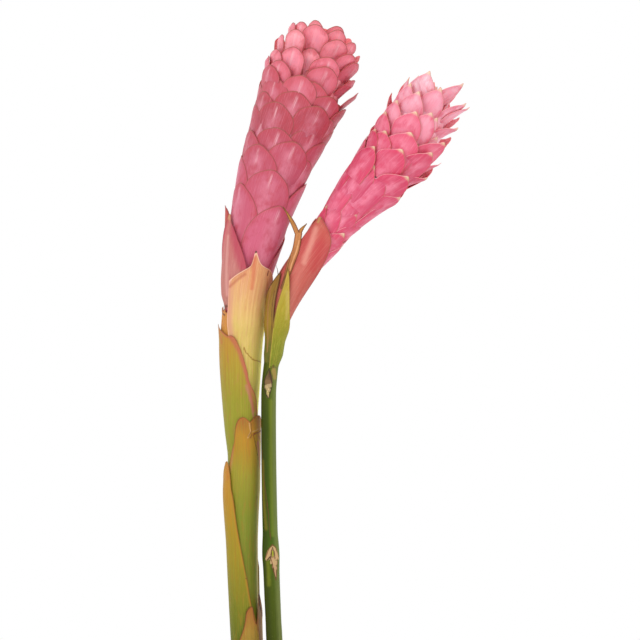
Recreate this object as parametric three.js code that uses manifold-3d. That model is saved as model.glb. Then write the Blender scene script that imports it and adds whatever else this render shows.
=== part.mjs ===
// Potted pink ginger: two flowering stems with waxy pink bracts, standing in a plain round clay pot.
// Millimetres, +Z up. The origin is the centre of the pot's underside, and the front is -Y.
import * as THREE from "three";
import Module from "manifold-3d";

const wasm = await Module();
wasm.setup();

// Driving dimensions shared by all pieces
const GAP = 0.3; // clearance between two pieces that touch
const BLADE = 0.8; // thickness of a bract or a sheath
const LAYER = 1.4; // step from one sheath to the one wrapped round it
const HEAD_LEVEL = 489; // height where both flower heads begin: there, s is 0 on each centre line
const GOLDEN_ANGLE = 137.508; // degrees from one bract to the next

const STALK_FOOT = 5; // length s where a head's stalk begins, a gap above the stem

// Pot and soil
const POT = { height: 170, foot: 72, rim: 104, band: 26, bandStep: 4, wall: 7, floor: 9, sides: 32 };
const SOIL = { edge: 148, middle: 152, holeFloor: 70, holeSides: 18 };
const STEM_FOOT = SOIL.holeFloor + GAP - HEAD_LEVEL;
const SHEATH_FOOT = -335; // length s just above the soil, where the lowest sheaths begin

// Centre line of each plant: x for a height z, at a fixed depth y
const LINE_A = {
  y: 6,
  x: (z) =>
    -15.3 +
    1.2e-4 * Math.min(0, z - 400) ** 2 +
    9.4e-4 * Math.max(0, z - 455) ** 2 -
    1.9e-3 * Math.max(0, z - 680) ** 2 +
    2 * Math.exp(-(((z - 375) / 25) ** 2)),
};
const LINE_B = {
  y: -9,
  x: (z) =>
    9.6 +
    3.2 * THREE.MathUtils.smoothstep(z, 430, 480) +
    1.2e-4 * Math.min(0, z - 420) ** 2 +
    15.1 * Math.log(1 + Math.exp((z - 516) / 18)) -
    4.2 * Math.log(1 + Math.exp((z - 664) / 12)) +
    6 * Math.exp(-(((z - 642) / 26) ** 2)),
};

// Radius of each plant's own body, as [s, radius]: the stem up to HEAD_LEVEL, then the lower part of the head
const BODY_A = [
  [STEM_FOOT, 8.4],
  [-290, 8.4],
  [-240, 9],
  [-190, 9.8],
  [-143, 12.5],
  [-117, 11.2],
  [-97, 12.7],
  [-80, 13.4],
  [-40, 16.5],
  [-8, 18.1],
  [8, 18.2],
  [23, 18.2],
  [60, 21.9],
  [120, 27.8],
];
const BODY_B = [
  [STEM_FOOT, 7],
  [-284, 7.1],
  [-277, 7.7],
  [-270, 7.1],
  [-212, 7.3],
  [-199, 8.3],
  [-188, 6.8],
  [-60, 6.7],
  [-25, 6.7],
  [-10, 7.1],
  [0, 7.9],
  [25, 9.8],
];
// Radius of the stalk inside each head, that its bracts grow from
const STALK_A = [
  [STALK_FOOT, 18],
  [20, 17.9],
  [50, 19.5],
  [110, 26],
  [170, 32.2],
  [215, 36],
  [242, 34],
  [262, 14],
];
const STALK_B = [
  [STALK_FOOT, 8],
  [25, 8],
  [55, 10.5],
  [80, 12.6],
  [110, 15],
  [140, 18.4],
  [175, 22.8],
  [215, 24],
  [264, 6],
];
// Radius that the second plant's sheaths and lowest bracts wrap round: the stem, then the head's surface
const WRAP_B = [
  [-40, 6.7],
  [-25, 6.7],
  [-10, 7.1],
  [0, 8],
  [12, 10],
  [25, 12],
  [40, 13.3],
  [55, 14.5],
  [70, 15.7],
  [85, 16.9],
  [100, 18.1],
  [120, 19.7],
];

// Flower heads: a cone of bracts that ends in a dome of upright ones
const HEAD_A = {
  radius: 18,
  growth: 0.098,
  spread: { by: 2, from: 190, to: 225 },
  shoulder: 235,
  top: 287,
  domePower: 3.4,
  first: -7,
  apart: [-6],
  sideCount: 45,
  crownCount: 32,
  startAngle: 0,
  turn: GOLDEN_ANGLE,
  shift: 6,
};
const HEAD_B = {
  radius: 9.7,
  growth: 0.077,
  spread: { by: 11.5, from: 132, to: 196 },
  shoulder: 212,
  top: 284,
  domePower: 3,
  first: -4,
  apart: [],
  sideCount: 47,
  crownCount: 28,
  startAngle: 86.9,
  turn: -GOLDEN_ANGLE,
  shift: 5.5,
};
// Where bract tips stand out on the front of each head, as [s, degrees]: the nearest bract moves there
const SEEN_A = [
  [223, -41], [224, 37], [231, 11], [232, -5], [233, -57], [236, 54], [240, -42], [245, 80],
  [247, 19], [248, -10], [248, 55], [250, -62], [255, -29], [255, 18], [259, 65], [263, -14],
  [264, 50], [273, 28], [273, -38], [275, 58], [281, -13], [282, 32], [282, -47],
];
const SEEN_B = [
  [125, -30], [133, -42], [143, 15], [149, -10], [155, -48], [167, 56], [168, 8], [170, -24],
  [183, 29], [190, 74], [197, -6], [205, -44], [207, 36], [207, 90], [214, -5], [219, 45],
  [223, -58], [232, 68], [233, -12], [236, -50], [238, 12], [244, 65], [247, 52], [250, -20],
  [253, 16], [254, -42], [259, 75], [261, 11], [261, 60], [265, -31], [271, -18], [275, 48],
];
const SEEN_REACH = 20; // farthest that a bract moves to such a place
const BRACT_FOOT = 8; // length s where the lowest bracts are rooted
const BROAD_ROWS = [1, 0.7, 0.35, 0]; // places up a broad bract, from its base to its tip
const POINTED_ROWS = [1, 0.7, 0]; // the same for a narrow, pointed one
const BROAD_COLUMNS = [-1, -0.4, 0.4, 1]; // places across a broad bract
const KEELED_COLUMNS = [-1, 0, 1]; // places across a narrow one
const STEM_A_SIDES = 14;
const STEM_B_SIDES = 14;
const STALK_SIDES = 10; // inside a head
const COLUMN_STEP = 20; // widest step round a stem between two columns of a sheath, in degrees

// Colours
const PAINT = {
  pot: [0xb8694a, 0.85],
  soil: [0x3b2a20, 0.95],
  stemA: [0x8f9a45, 0.5],
  stemB: [0x557028, 0.45],
  pink: [0xd7708a, 0.4],
  brightPink: [0xf0789c, 0.4],
  salmon: [0xd08478, 0.45],
  peach: [0xdda070, 0.5],
  orange: [0xd29a4c, 0.55],
  olive: [0xa8a042, 0.5],
  tan: [0xb98a4a, 0.6],
  brown: [0x8a5a3c, 0.7],
};

const rad = THREE.MathUtils.degToRad;
const lerp = THREE.MathUtils.lerp;
const smooth = THREE.MathUtils.smoothstep;

// A centre line measured by length, s, with a frame at each point: along, to the right, and to the front
function centreLine({ x, y }) {
  const start = 40;
  const step = 1;
  const count = 780;
  const lengths = [0];
  for (let i = 1; i <= count; i++) {
    const z = start + i * step;
    lengths.push(lengths[i - 1] + Math.hypot(x(z) - x(z - step), step));
  }
  const zero = lengths[HEAD_LEVEL - start];
  const heightAt = (s) => {
    let i = 1;
    while (i < count && lengths[i] - zero < s) i++;
    const share = (s + zero - lengths[i - 1]) / (lengths[i] - lengths[i - 1]);
    return start + (i - 1 + share) * step;
  };
  return (s) => {
    const z = heightAt(s);
    const slant = (x(z + step) - x(z - step)) / (2 * step);
    return {
      centre: new THREE.Vector3(x(z), y, z),
      along: new THREE.Vector3(slant, 0, 1).normalize(),
      right: new THREE.Vector3(1, 0, -slant).normalize(),
      front: new THREE.Vector3(0, -1, 0),
    };
  };
}

// Unit vectors away from the centre line and round it, at an angle from the front towards the right
function outward(frame, angle) {
  return frame.front
    .clone()
    .multiplyScalar(Math.cos(angle))
    .addScaledVector(frame.right, Math.sin(angle));
}

function around(frame, angle) {
  return frame.right
    .clone()
    .multiplyScalar(Math.cos(angle))
    .addScaledVector(frame.front, -Math.sin(angle));
}

function pointOn(line, s, degrees, r) {
  const frame = line(s);
  return frame.centre.clone().addScaledVector(outward(frame, rad(degrees)), r);
}

// A closed solid from points and triangles: points closer than a micrometre are one point
function solidFrom(points, triangles) {
  const places = new Map();
  const kept = [];
  const renumbered = points.map((p) => {
    const key = [p.x, p.y, p.z].map((v) => Math.round(v * 1e3)).join();
    if (!places.has(key)) {
      places.set(key, kept.length / 3);
      kept.push(p.x, p.y, p.z);
    }
    return places.get(key);
  });
  const faces = triangles
    .map((t) => t.map((i) => renumbered[i]))
    .filter(([a, b, c]) => a !== b && b !== c && c !== a);
  const mesh = new wasm.Mesh({
    numProp: 3,
    vertProperties: new Float32Array(kept),
    triVerts: new Uint32Array(faces.flat()),
  });
  return new wasm.Manifold(mesh);
}

// The solid between two grids of points, an outer one and an inner one, closed along its four edges
function plateBetween(outer, inner) {
  const rows = outer.length - 1;
  const columns = outer[0].length - 1;
  const points = [...outer.flat(), ...inner.flat()];
  const back = (rows + 1) * (columns + 1);
  const at = (i, j) => i * (columns + 1) + j;
  const triangles = [];
  const quad = (a, b, c, d) => triangles.push([a, b, c], [a, c, d]);
  for (let i = 0; i < rows; i++) {
    for (let j = 0; j < columns; j++) {
      const [a, b, c, d] = [at(i, j), at(i, j + 1), at(i + 1, j + 1), at(i + 1, j)];
      quad(a, b, c, d);
      triangles.push([back + a, back + c, back + b], [back + a, back + d, back + c]);
    }
  }
  for (let j = 0; j < columns; j++) {
    quad(at(0, j + 1), at(0, j), back + at(0, j), back + at(0, j + 1));
    quad(at(rows, j), at(rows, j + 1), back + at(rows, j + 1), back + at(rows, j));
  }
  for (let i = 0; i < rows; i++) {
    quad(at(i, 0), at(i + 1, 0), back + at(i + 1, 0), back + at(i, 0));
    quad(at(i + 1, columns), at(i, columns), back + at(i, columns), back + at(i + 1, columns));
  }
  return solidFrom(points, triangles);
}

// A round rod along a centre line, through rings given as [s, radius] from the bottom up
function rodAlong(line, rings, sides) {
  const points = rings.flatMap(([s, r]) =>
    Array.from({ length: sides }, (_, j) => pointOn(line, s, (360 * j) / sides, r)),
  );
  const last = rings.length - 1;
  const bottom = points.push(line(rings[0][0]).centre) - 1;
  const top = points.push(line(rings[last][0]).centre) - 1;
  const triangles = [];
  for (let j = 0; j < sides; j++) {
    const k = (j + 1) % sides;
    for (let i = 0; i < last; i++) {
      const [low, high] = [i * sides, (i + 1) * sides];
      triangles.push([low + j, low + k, high + k], [low + j, high + k, high + j]);
    }
    triangles.push([bottom, k, j], [top, last * sides + j, last * sides + k]);
  }
  return solidFrom(points, triangles);
}

// A solid turned about the vertical axis through the origin, from a profile of [radius, height]
function turned(profile, sides) {
  const outline = profile.map(([r, z]) => new THREE.Vector2(r, z));
  const geometry = new THREE.LatheGeometry(outline, sides).rotateX(Math.PI / 2);
  const position = geometry.attributes.position;
  const points = Array.from({ length: position.count }, (_, i) =>
    new THREE.Vector3().fromBufferAttribute(position, i),
  );
  const index = [...geometry.index.array];
  const triangles = index.flatMap((_, i) => (i % 3 ? [] : [index.slice(i, i + 3)]));
  return solidFrom(points, triangles);
}

// The outermost body of a joined solid: seams can close off small hollows inside it, which stay filled
function wholeBody(solid) {
  return solid.decompose().reduce((best, part) => (part.volume() > best.volume() ? part : best));
}

function meshOf(name, solid, [colour, roughness]) {
  const { numProp, vertProperties, triVerts } = solid.getMesh();
  const position = new Float32Array((vertProperties.length / numProp) * 3);
  for (let i = 0; i < position.length / 3; i++) {
    position.set(vertProperties.subarray(i * numProp, i * numProp + 3), i * 3);
  }
  const geometry = new THREE.BufferGeometry()
    .setAttribute("position", new THREE.BufferAttribute(position, 3))
    .setIndex(new THREE.BufferAttribute(new Uint32Array(triVerts), 1));
  geometry.computeVertexNormals();
  const mesh = new THREE.Mesh(
    geometry,
    new THREE.MeshStandardMaterial({ color: colour, roughness, metalness: 0 }),
  );
  mesh.name = name;
  return mesh;
}

// A radius for a length s, straight between the points of a profile
function radiusOf(profile) {
  return (s) => {
    const next = profile.findIndex(([end]) => end >= s);
    const i = next < 0 ? profile.length - 1 : Math.max(1, next);
    const [[s0, r0], [s1, r1]] = [profile[i - 1], profile[i]];
    return r0 + ((r1 - r0) * (s - s0)) / (s1 - s0);
  };
}

// Radius of a head's surface for a length s: a cone that may spread further below the crown
function surfaceRadius(head, s) {
  const { by, from, to } = head.spread;
  return head.radius + head.growth * s + by * smooth(s, from, to);
}

// Radius of the whole head for a length s: its surface, then the dome of the crown
function headRadius(head, s) {
  const up = THREE.MathUtils.clamp((s - head.shoulder) / (head.top - head.shoulder), 0, 1);
  const dome = (1 - up ** head.domePower) ** (1 / head.domePower);
  return surfaceRadius(head, Math.min(s, head.shoulder)) * dome;
}

// A place on the dome, for the share of the dome's area that lies below it
function domeTable(head) {
  const steps = 80;
  const height = head.top - head.shoulder;
  const places = Array.from({ length: steps + 1 }, (_, i) => {
    const s = head.shoulder + height * Math.sin((i / steps) * (Math.PI / 2)) ** (2 / head.domePower);
    return { s, r: headRadius(head, s), area: 0 };
  });
  for (let i = 1; i <= steps; i++) {
    const [p, q] = [places[i - 1], places[i]];
    q.area = p.area + (p.r + q.r) * Math.hypot(q.s - p.s, q.r - p.r);
  }
  return places;
}

function domePlace(table, share) {
  const area = share * table[table.length - 1].area;
  const i = Math.max(1, table.findIndex((p) => p.area >= area));
  const [p, q] = [table[i - 1], table[i]];
  const t = (area - p.area) / (q.area - p.area);
  return { s: lerp(p.s, q.s, t), r: lerp(p.r, q.r, t) };
}

// Length s of the tip of bract n on the side of each head: wide steps at first, then even ones
function sideTipA(n) {
  return n < 0 ? 145 + 1.92 * n - 0.917 * n * n : 145 + 1.62 * n + 17.6 * (1 - Math.exp(-n / 4));
}

function sideTipB(n) {
  return 93 + 2.4 * n + 10 * (1 - Math.exp(-n / 6));
}

// Shape of a bract of the first head: broad and round, longer and more pointed near the base
function bractA(n, place, share) {
  const low = Math.exp(-(n + 8) / 8);
  const open = smooth(place.s, 205, 250);
  const lean = place.r / surfaceRadius(HEAD_A, HEAD_A.shoulder);
  const length = Math.min(lerp(28 + 93 * low, 31 - 3 * share, open), place.s - BRACT_FOOT);
  const rightSide = Math.max(0, Math.sin(rad(place.degrees)));
  const rise = Math.atan(HEAD_A.growth + 4.5 / length);
  const pressed = rad(8);
  return {
    ...place,
    length,
    halfWidth: lerp(20.5 + 9 * low, 19 - 8 * share, open),
    thickness: lerp(5.5, BLADE, open),
    roundEnd: lerp(17 + 30 * low, 15 - 4 * share, open),
    taper: 0.3,
    inPower: 2,
    outPower: lerp(2, 1.5, low),
    tipSlope: lerp(pressed, rad(10 + 28 * rightSide) * lean, open),
    baseSlope: lerp(2 * rise - pressed, rad(26) * lean, open),
  };
}

// Shape of a bract of the second head: narrow and pointed, spreading from halfway up
function bractB(n, place, share) {
  const low = Math.exp(-(n + 4) / 14);
  const open = smooth(place.s, 150, 200);
  const lean = smooth(place.r, 0, 24);
  const rightSide = Math.max(0, Math.sin(rad(place.degrees)));
  const length = Math.min(lerp(30 + 28 * low, 31 - 4 * share, open), place.s - BRACT_FOOT);
  const rise = Math.atan(HEAD_B.growth + 4 / length);
  const pressed = rad(lerp(8, 5, low));
  return {
    ...place,
    r: place.r + 3 * rightSide * open * lean,
    length,
    halfWidth: lerp(14 + 2 * low, 15 - 5 * share, open),
    thickness: lerp(4.5, BLADE, open),
    roundEnd: lerp(22 + 8 * low, 19, open),
    taper: lerp(0.1, 0.45, low),
    inPower: 1.5,
    outPower: 1,
    tipSlope: lerp(pressed, rad(14 + 26 * rightSide) * lean, open),
    baseSlope: lerp(2 * rise - pressed, rad(20) * lean, open),
  };
}

// Moves the nearest bracts to the places where tips are seen, the closest pairs first
function settle(places, seen) {
  const pairs = places.flatMap((place) =>
    seen.map((spot) => {
      const turned = THREE.MathUtils.euclideanModulo(spot[1] - place.degrees + 180, 360) - 180;
      return { place, spot, far: Math.hypot(spot[0] - place.s, place.r * rad(turned)) };
    }),
  );
  const used = new Set();
  for (const { place, spot, far } of pairs.sort((a, b) => a.far - b.far)) {
    if (far > SEEN_REACH || used.has(place) || used.has(spot)) continue;
    used.add(place).add(spot);
    [place.s, place.degrees] = spot;
  }
}

// All bracts of a head, on a golden angle spiral that is tipped a little to the right
function bractsOf(head, sideTip, shape, seen) {
  const table = domeTable(head);
  const places = [];
  for (let n = head.first; n < head.sideCount + head.crownCount; n++) {
    if (head.apart.includes(n)) continue;
    const degrees = (head.startAngle + head.turn * n) % 360;
    const share = Math.max(0, (n - head.sideCount + 0.5) / head.crownCount);
    const base = share > 0 ? domePlace(table, share) : { s: sideTip(n), r: 0 };
    const s = base.s + head.shift * Math.sin(rad(degrees)) * (1 - share);
    places.push({ n, share, s, r: headRadius(head, s), degrees });
  }
  settle(places, seen);
  return places.map(({ n, share, s, degrees }) =>
    shape(n, { s, r: headRadius(head, s), degrees }, share),
  );
}

// Half the width of a bract at a distance down from its tip
function halfWidthAt(bract, down) {
  const x = Math.min(down / bract.roundEnd, 1);
  const end = (1 - (1 - x) ** bract.inPower) ** (1 / bract.outPower);
  return bract.halfWidth * end * (1 - bract.taper * (down / bract.length) ** 2);
}

// A point of a bract: up 0 at its tip to 1 at its base, across -1 to 1, and sunk below its outer face
function bractPoint(line, bract, up, across, sunk) {
  const share = up * up;
  const down = bract.length * share;
  const turnDown = bract.baseSlope - bract.tipSlope;
  const mean = bract.tipSlope + (turnDown * share) / 2;
  const slope = bract.tipSlope + turnDown * share;
  const frame = line(bract.s - down * Math.cos(mean));
  const r = Math.max(1, bract.r - down * Math.sin(mean));
  const curl = Math.max(r, 0.75 * bract.halfWidth);
  const bend = (across * halfWidthAt(bract, down)) / curl;
  const out = outward(frame, rad(bract.degrees));
  const side = around(frame, rad(bract.degrees));
  const normal = out
    .clone()
    .multiplyScalar(Math.cos(bend) * Math.cos(slope))
    .addScaledVector(side, Math.sin(bend) * Math.cos(slope))
    .addScaledVector(frame.along, -Math.sin(slope));
  return frame.centre
    .clone()
    .addScaledVector(out, r - curl * (1 - Math.cos(bend)))
    .addScaledVector(side, curl * Math.sin(bend))
    .addScaledVector(normal, -sunk);
}

function bractSolid(line, bract, rows, columns) {
  const face = (sunk) => rows.map((up) => columns.map((v) => bractPoint(line, bract, up, v, sunk)));
  return plateBetween(face(0), face(bract.thickness));
}

// A rod along a centre line between two lengths, with the radius of a body's profile
function bodyBetween(line, profile, from, to, sides) {
  const radius = radiusOf(profile);
  const inside = profile.filter(([s]) => s > from + 1 && s < to - 1);
  return rodAlong(line, [[from, radius(from)], ...inside, [to, radius(to)]], sides);
}

// A head: bracts fused to the stalk that they grow from
function bloomSolid(line, profile, bracts, rows, columns) {
  const stalk = rodAlong(line, profile, STALK_SIDES);
  const blades = bracts.map((bract) => bractSolid(line, bract, rows, columns));
  return wholeBody(wasm.Manifold.union([stalk, ...blades]));
}

// More points along a margin, so that no step round the stem is wider than COLUMN_STEP
function closeSteps(margin) {
  return margin.flatMap(([degrees, s], i) => {
    if (i === 0) return [[degrees, s]];
    const [before, sBefore] = margin[i - 1];
    const steps = Math.ceil(Math.abs(degrees - before) / COLUMN_STEP);
    return Array.from({ length: steps }, (_, k) => [
      lerp(before, degrees, (k + 1) / steps),
      lerp(sBefore, s, (k + 1) / steps),
    ]);
  });
}

// A sheath wrapped round a stem: columns from its bottom up to its margin, given as [degrees, s].
// Sheaths that lie on each other have rows at the same levels, so that each keeps its distance.
function sheathSolid({ line, levels, bottom, bottomSpan, margin, radius }) {
  const tops = closeSteps(margin);
  const [left, right] = bottomSpan ?? [tops[0][0], tops[tops.length - 1][0]];
  const highest = Math.max(...tops.map(([, s]) => s));
  const rows = [bottom, ...levels.filter((s) => s > bottom + 1 && s < highest), highest];
  const face = (sunk) =>
    rows.map((level) =>
      tops.map(([degrees, top], j) => {
        const s = Math.min(level, top);
        const start = bottomSpan ? lerp(left, right, j / (tops.length - 1)) : degrees;
        const angle = lerp(start, degrees, (s - bottom) / (top - bottom));
        return pointOn(line, s, angle, radius(s, angle) - sunk);
      }),
    );
  return plateBetween(face(0), face(BLADE));
}

// A flat strip through places given as { at, facing, width }
function stripSolid(places) {
  const face = (sunk) =>
    places.map(({ at, facing, width }, i) => {
      const before = places[Math.max(0, i - 1)].at;
      const after = places[Math.min(places.length - 1, i + 1)].at;
      const along = after.clone().sub(before).normalize();
      const side = along.clone().cross(facing).normalize();
      return [-width / 2, width / 2].map((w) =>
        at.clone().addScaledVector(side, w).addScaledVector(facing, -sunk),
      );
    });
  return plateBetween(face(0), face(BLADE));
}

function buildPot() {
  const { height, foot, rim, band, bandStep, wall, floor, sides } = POT;
  const flare = (z) => lerp(foot, rim - bandStep, z / height);
  const profile = [
    [0, 0],
    [foot - 2, 0],
    [foot, 2],
    [flare(height - band), height - band],
    [rim - 1, height - band + 1],
    [rim, height - 2],
    [rim - 2, height],
    [rim - wall, height],
    [rim - wall - 2, height - 3],
    [flare(height - band) - wall, height - band],
    [flare(floor) - wall, floor + 3],
    [flare(floor) - wall - 3, floor],
    [0, floor],
  ];
  return turned(profile, sides);
}

// Potting soil that fills the pot, with a plain hole for each stem
function buildSoil(stems) {
  const { height, rim, band, bandStep, wall, floor, sides } = POT;
  const clearance = GAP + 0.3;
  const inner = (z) => lerp(POT.foot, rim - bandStep, z / height) - wall - clearance;
  const profile = [
    [0, floor + GAP],
    [inner(floor) - 4, floor + GAP],
    [inner(floor + 4), floor + 5],
    [inner(height - band), height - band],
    [inner(height - band), SOIL.edge],
    [60, SOIL.middle],
    [0, SOIL.middle],
  ];
  return stems.reduce((soil, [line, [[foot, radius], [above]]]) => {
    const ends = [foot - GAP, above];
    return soil.subtract(rodAlong(line, ends.map((s) => [s, radius + clearance]), SOIL.holeSides));
  }, turned(profile, sides));
}

const lineA = centreLine(LINE_A);
const lineB = centreLine(LINE_B);
const bodyA = radiusOf(BODY_A);
const wrapB = radiusOf(WRAP_B);

const bractsA = bractsOf(HEAD_A, sideTipA, bractA, SEEN_A);
const bractsB = bractsOf(HEAD_B, sideTipB, bractB, SEEN_B);

// Outer face of a sheath that lies a number of layers out from the body
const FIRST_LAYER = GAP + BLADE;
const layerA = (count) => (s) => bodyA(s) + FIRST_LAYER + count * LAYER;

// The two outermost bracts of the first head part from it towards their tips, most of all on the left
const PARTED_LEVELS = [23, 40, 60, 75, 88, 98];
const partedLeft = (degrees) => smooth(-degrees, 66, 92);
const rearRadius = (s, degrees) =>
  bodyA(s) +
  FIRST_LAYER +
  partedLeft(degrees) * (1.4 * smooth(s, 20, 45) + 4.5 * (Math.max(0, s - 56) / 48) ** 1.5);

const sheathsA = {
  sheath_a_hood: {
    paint: PAINT.peach,
    bottom: -143,
    bottomSpan: [-26, 175],
    margin: [
      [-41, 42],
      [-26, 47.5],
      [-10, 53],
      [2, 57.5],
      [5, 63],
      [7, 72.5],
      [12, 69],
      [18, 64],
      [24, 61],
      [35, 59],
      [50, 57.5],
      [65, 53],
      [80, 46],
      [100, 36],
      [120, 26],
      [140, 14],
      [160, 0],
      [172, -14],
    ],
    radius: (s, degrees) =>
      bodyA(s) + FIRST_LAYER + (2.8 - 1.6 * smooth(degrees, 10, 60)) * smooth(s, -8, 8),
  },
  sheath_a_stub: {
    paint: PAINT.orange,
    bottom: -45,
    margin: [
      [-140, 9],
      [-120, 14],
      [-90, 16],
      [-60, 14],
      [-42, 8],
    ],
    radius: layerA(0),
  },
  sheath_a_left: {
    paint: PAINT.olive,
    bottom: -190,
    margin: [
      [-240, -70],
      [-220, -50],
      [-200, -36],
      [-180, -26],
      [-160, -18],
      [-140, -11],
      [-120, -5],
      [-104, 0],
      [-92, 4],
      [-80, 2],
      [-66, -1],
      [-52, -3],
      [-36, -6],
      [-19, -6],
      [0, -18],
      [17, -36],
      [25, -47],
      [50, -61],
      [61, -76],
      [75, -95],
      [90, -115],
      [115, -140],
    ],
    radius: (s, degrees) =>
      layerA(1)(s) + 1.1 * Math.exp(-(((degrees + 92) / 25) ** 2)) * smooth(s, -12, 4),
  },
  sheath_a_front: {
    paint: PAINT.tan,
    bottom: SHEATH_FOOT,
    margin: [
      [-170, -175],
      [-130, -160],
      [-90, -142],
      [-60, -130],
      [-51, -122],
      [-40, -110],
      [-26, -99.5],
      [-17, -85.5],
      [-6, -79.5],
      [7, -78],
      [18, -80],
      [26.5, -83],
      [40, -79],
      [57, -77],
      [80, -80],
      [110, -95],
      [140, -118],
      [165, -140],
    ],
    radius: layerA(2),
  },
  sheath_a_lower: {
    paint: PAINT.olive,
    bottom: SHEATH_FOOT,
    margin: [
      [-250, -215],
      [-225, -195],
      [-200, -178],
      [-175, -164],
      [-150, -152],
      [-125, -142],
      [-100, -134],
      [-78, -124],
      [-59, -118],
      [-39.5, -131],
      [-32, -143],
      [-24, -153],
      [-13.6, -180],
      [2, -207],
      [13.4, -225],
      [27, -248],
      [45, -262],
      [60, -285],
      [75, -310],
      [95, -322],
    ],
    radius: layerA(3),
  },
  sheath_a_base: {
    paint: PAINT.tan,
    bottom: SHEATH_FOOT,
    margin: [
      [-120, -320],
      [-90, -310],
      [-60, -300],
      [-40, -290],
      [-22, -279],
      [-8, -270],
      [0, -263],
      [8, -252],
      [28, -248.5],
      [32, -258],
      [41, -264.5],
      [48, -255],
      [56, -237],
      [70, -245],
      [90, -256],
      [120, -270],
      [150, -290],
      [180, -310],
    ],
    radius: layerA(4),
  },
  bract_a_rear: {
    paint: PAINT.brown,
    bottom: 17,
    margin: [
      [-150, 20],
      [-136, 48],
      [-120, 76],
      [-108, 96],
      [-97, 107],
      [-88, 104],
      [-80, 94],
      [-72, 76],
      [-62, 38],
    ],
    levels: PARTED_LEVELS,
    radius: rearRadius,
  },
  bract_a_outer: {
    paint: PAINT.salmon,
    bottom: 17,
    margin: [
      [-126, 22],
      [-112, 40],
      [-100, 56],
      [-90, 68],
      [-80, 86],
      [-70, 99.5],
      [-60, 93],
      [-45, 86],
      [-34, 79],
      [-20, 70],
      [-5, 56],
      [4, 40],
      [10, 22],
    ],
    levels: PARTED_LEVELS,
    radius: (s, degrees) => rearRadius(s, degrees) + LAYER,
  },
};

const sheathsB = {
  sheath_b_olive: {
    paint: PAINT.olive,
    bottom: -40,
    margin: [
      [-170, -10],
      [-140, 8],
      [-115, 25],
      [-97, 42],
      [-86, 46],
      [-72, 34],
      [-52, 20],
      [-36, 4],
      [-22, -10],
    ],
    radius: (s, degrees) =>
      wrapB(s) +
      FIRST_LAYER +
      LAYER * smooth(s, -10, 5) +
      3 * Math.exp(-(((degrees + 95) / 22) ** 2)) * smooth(s, 15, 40),
  },
  sheath_b_yellow: {
    paint: PAINT.orange,
    bottom: -36,
    bottomSpan: [-14, 160],
    margin: [
      [-12, 0],
      [-13, 20],
      [-18, 37],
      [-25, 47],
      [-32.4, 54.5],
      [-22, 51],
      [-11, 46.5],
      [5, 38],
      [18.6, 30],
      [35, 20],
      [60, 8],
      [90, -5],
      [120, -14],
      [150, -22],
    ],
    radius: (s) => wrapB(s) + FIRST_LAYER + LAYER * (1 + smooth(s, -10, 5)),
  },
  bract_b_lower: {
    paint: PAINT.salmon,
    bottom: 6,
    bottomSpan: [-60, 100],
    margin: [
      [-60, 20],
      [-61, 50],
      [-60, 80],
      [-56, 98],
      [-49, 107],
      [-25, 105],
      [-4, 102],
      [12, 98.5],
      [25, 94],
      [47, 79.5],
      [63, 66],
      [80, 48],
      [95, 30],
      [100, 16],
    ],
    radius: (s) => wrapB(s) + FIRST_LAYER,
  },
  bract_b_rear: {
    paint: PAINT.brown,
    bottom: 20,
    bottomSpan: [-170, -64],
    margin: [
      [-170, 30],
      [-155, 70],
      [-135, 100],
      [-110, 116],
      [-85, 119],
      [-72, 112],
      [-66, 90],
      [-64, 50],
      [-64, 24],
    ],
    radius: (s) => wrapB(s) + FIRST_LAYER,
  },
};

// The dry bract between the heads: a stalk that forks, one prong across the first head, one upwards
function buildDryBract() {
  const onStem = (s, degrees, r, width) => ({
    at: pointOn(lineB, s, degrees, r),
    facing: outward(lineB(s), rad(degrees)),
    width,
  });
  const facing = new THREE.Vector3(-0.25, -0.97, 0).normalize();
  const free = (x, y, z, width) => ({ at: new THREE.Vector3(x, y, z), facing, width });
  const stalk = [
    onStem(30, -30, wrapB(30) + 2.5, 6),
    onStem(47, -28, wrapB(47) + 2.5, 6.5),
    onStem(60, -38, wrapB(60) + 2.9, 6.5),
    onStem(71, -48, 18.8, 6),
    onStem(84, -70, 22.4, 6),
  ];
  const fork = stalk[stalk.length - 1].at;
  const leftProng = [
    free(fork.x, fork.y, fork.z - 3, 4),
    free(32.4, fork.y - 1, 582.6, 3.4),
    free(27, -22, 592.5, 3),
    free(22.9, -23, 598.8, 1),
  ];
  const rightProng = [
    free(fork.x, fork.y, fork.z - 3, 4),
    free(38.5, fork.y, 578, 3.4),
    free(43.9, -16, 584.4, 1),
  ];
  return wholeBody(wasm.Manifold.union([stalk, leftProng, rightProng].map(stripSolid)));
}

const levelsOf = (profile) => profile.map(([s]) => s);
const root = new THREE.Group();
const add = (name, solid, paint) => root.add(meshOf(name, solid, paint));
add("pot", buildPot(), PAINT.pot);
add("soil", buildSoil([[lineA, BODY_A], [lineB, BODY_B]]), PAINT.soil);
add("stem_a", bodyBetween(lineA, BODY_A, STEM_FOOT, STALK_FOOT - GAP, STEM_A_SIDES), PAINT.stemA);
add("stem_b", bodyBetween(lineB, BODY_B, STEM_FOOT, STALK_FOOT - GAP, STEM_B_SIDES), PAINT.stemB);
for (const [name, sheath] of Object.entries(sheathsA)) {
  add(name, sheathSolid({ line: lineA, levels: levelsOf(BODY_A), ...sheath }), sheath.paint);
}
for (const [name, sheath] of Object.entries(sheathsB)) {
  add(name, sheathSolid({ line: lineB, levels: levelsOf(WRAP_B), ...sheath }), sheath.paint);
}
add("bract_b_dry", buildDryBract(), PAINT.tan);
add("bloom_a", bloomSolid(lineA, STALK_A, bractsA, BROAD_ROWS, BROAD_COLUMNS), PAINT.pink);
add("bloom_b", bloomSolid(lineB, STALK_B, bractsB, POINTED_ROWS, KEELED_COLUMNS), PAINT.brightPink);

export default root;
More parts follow.
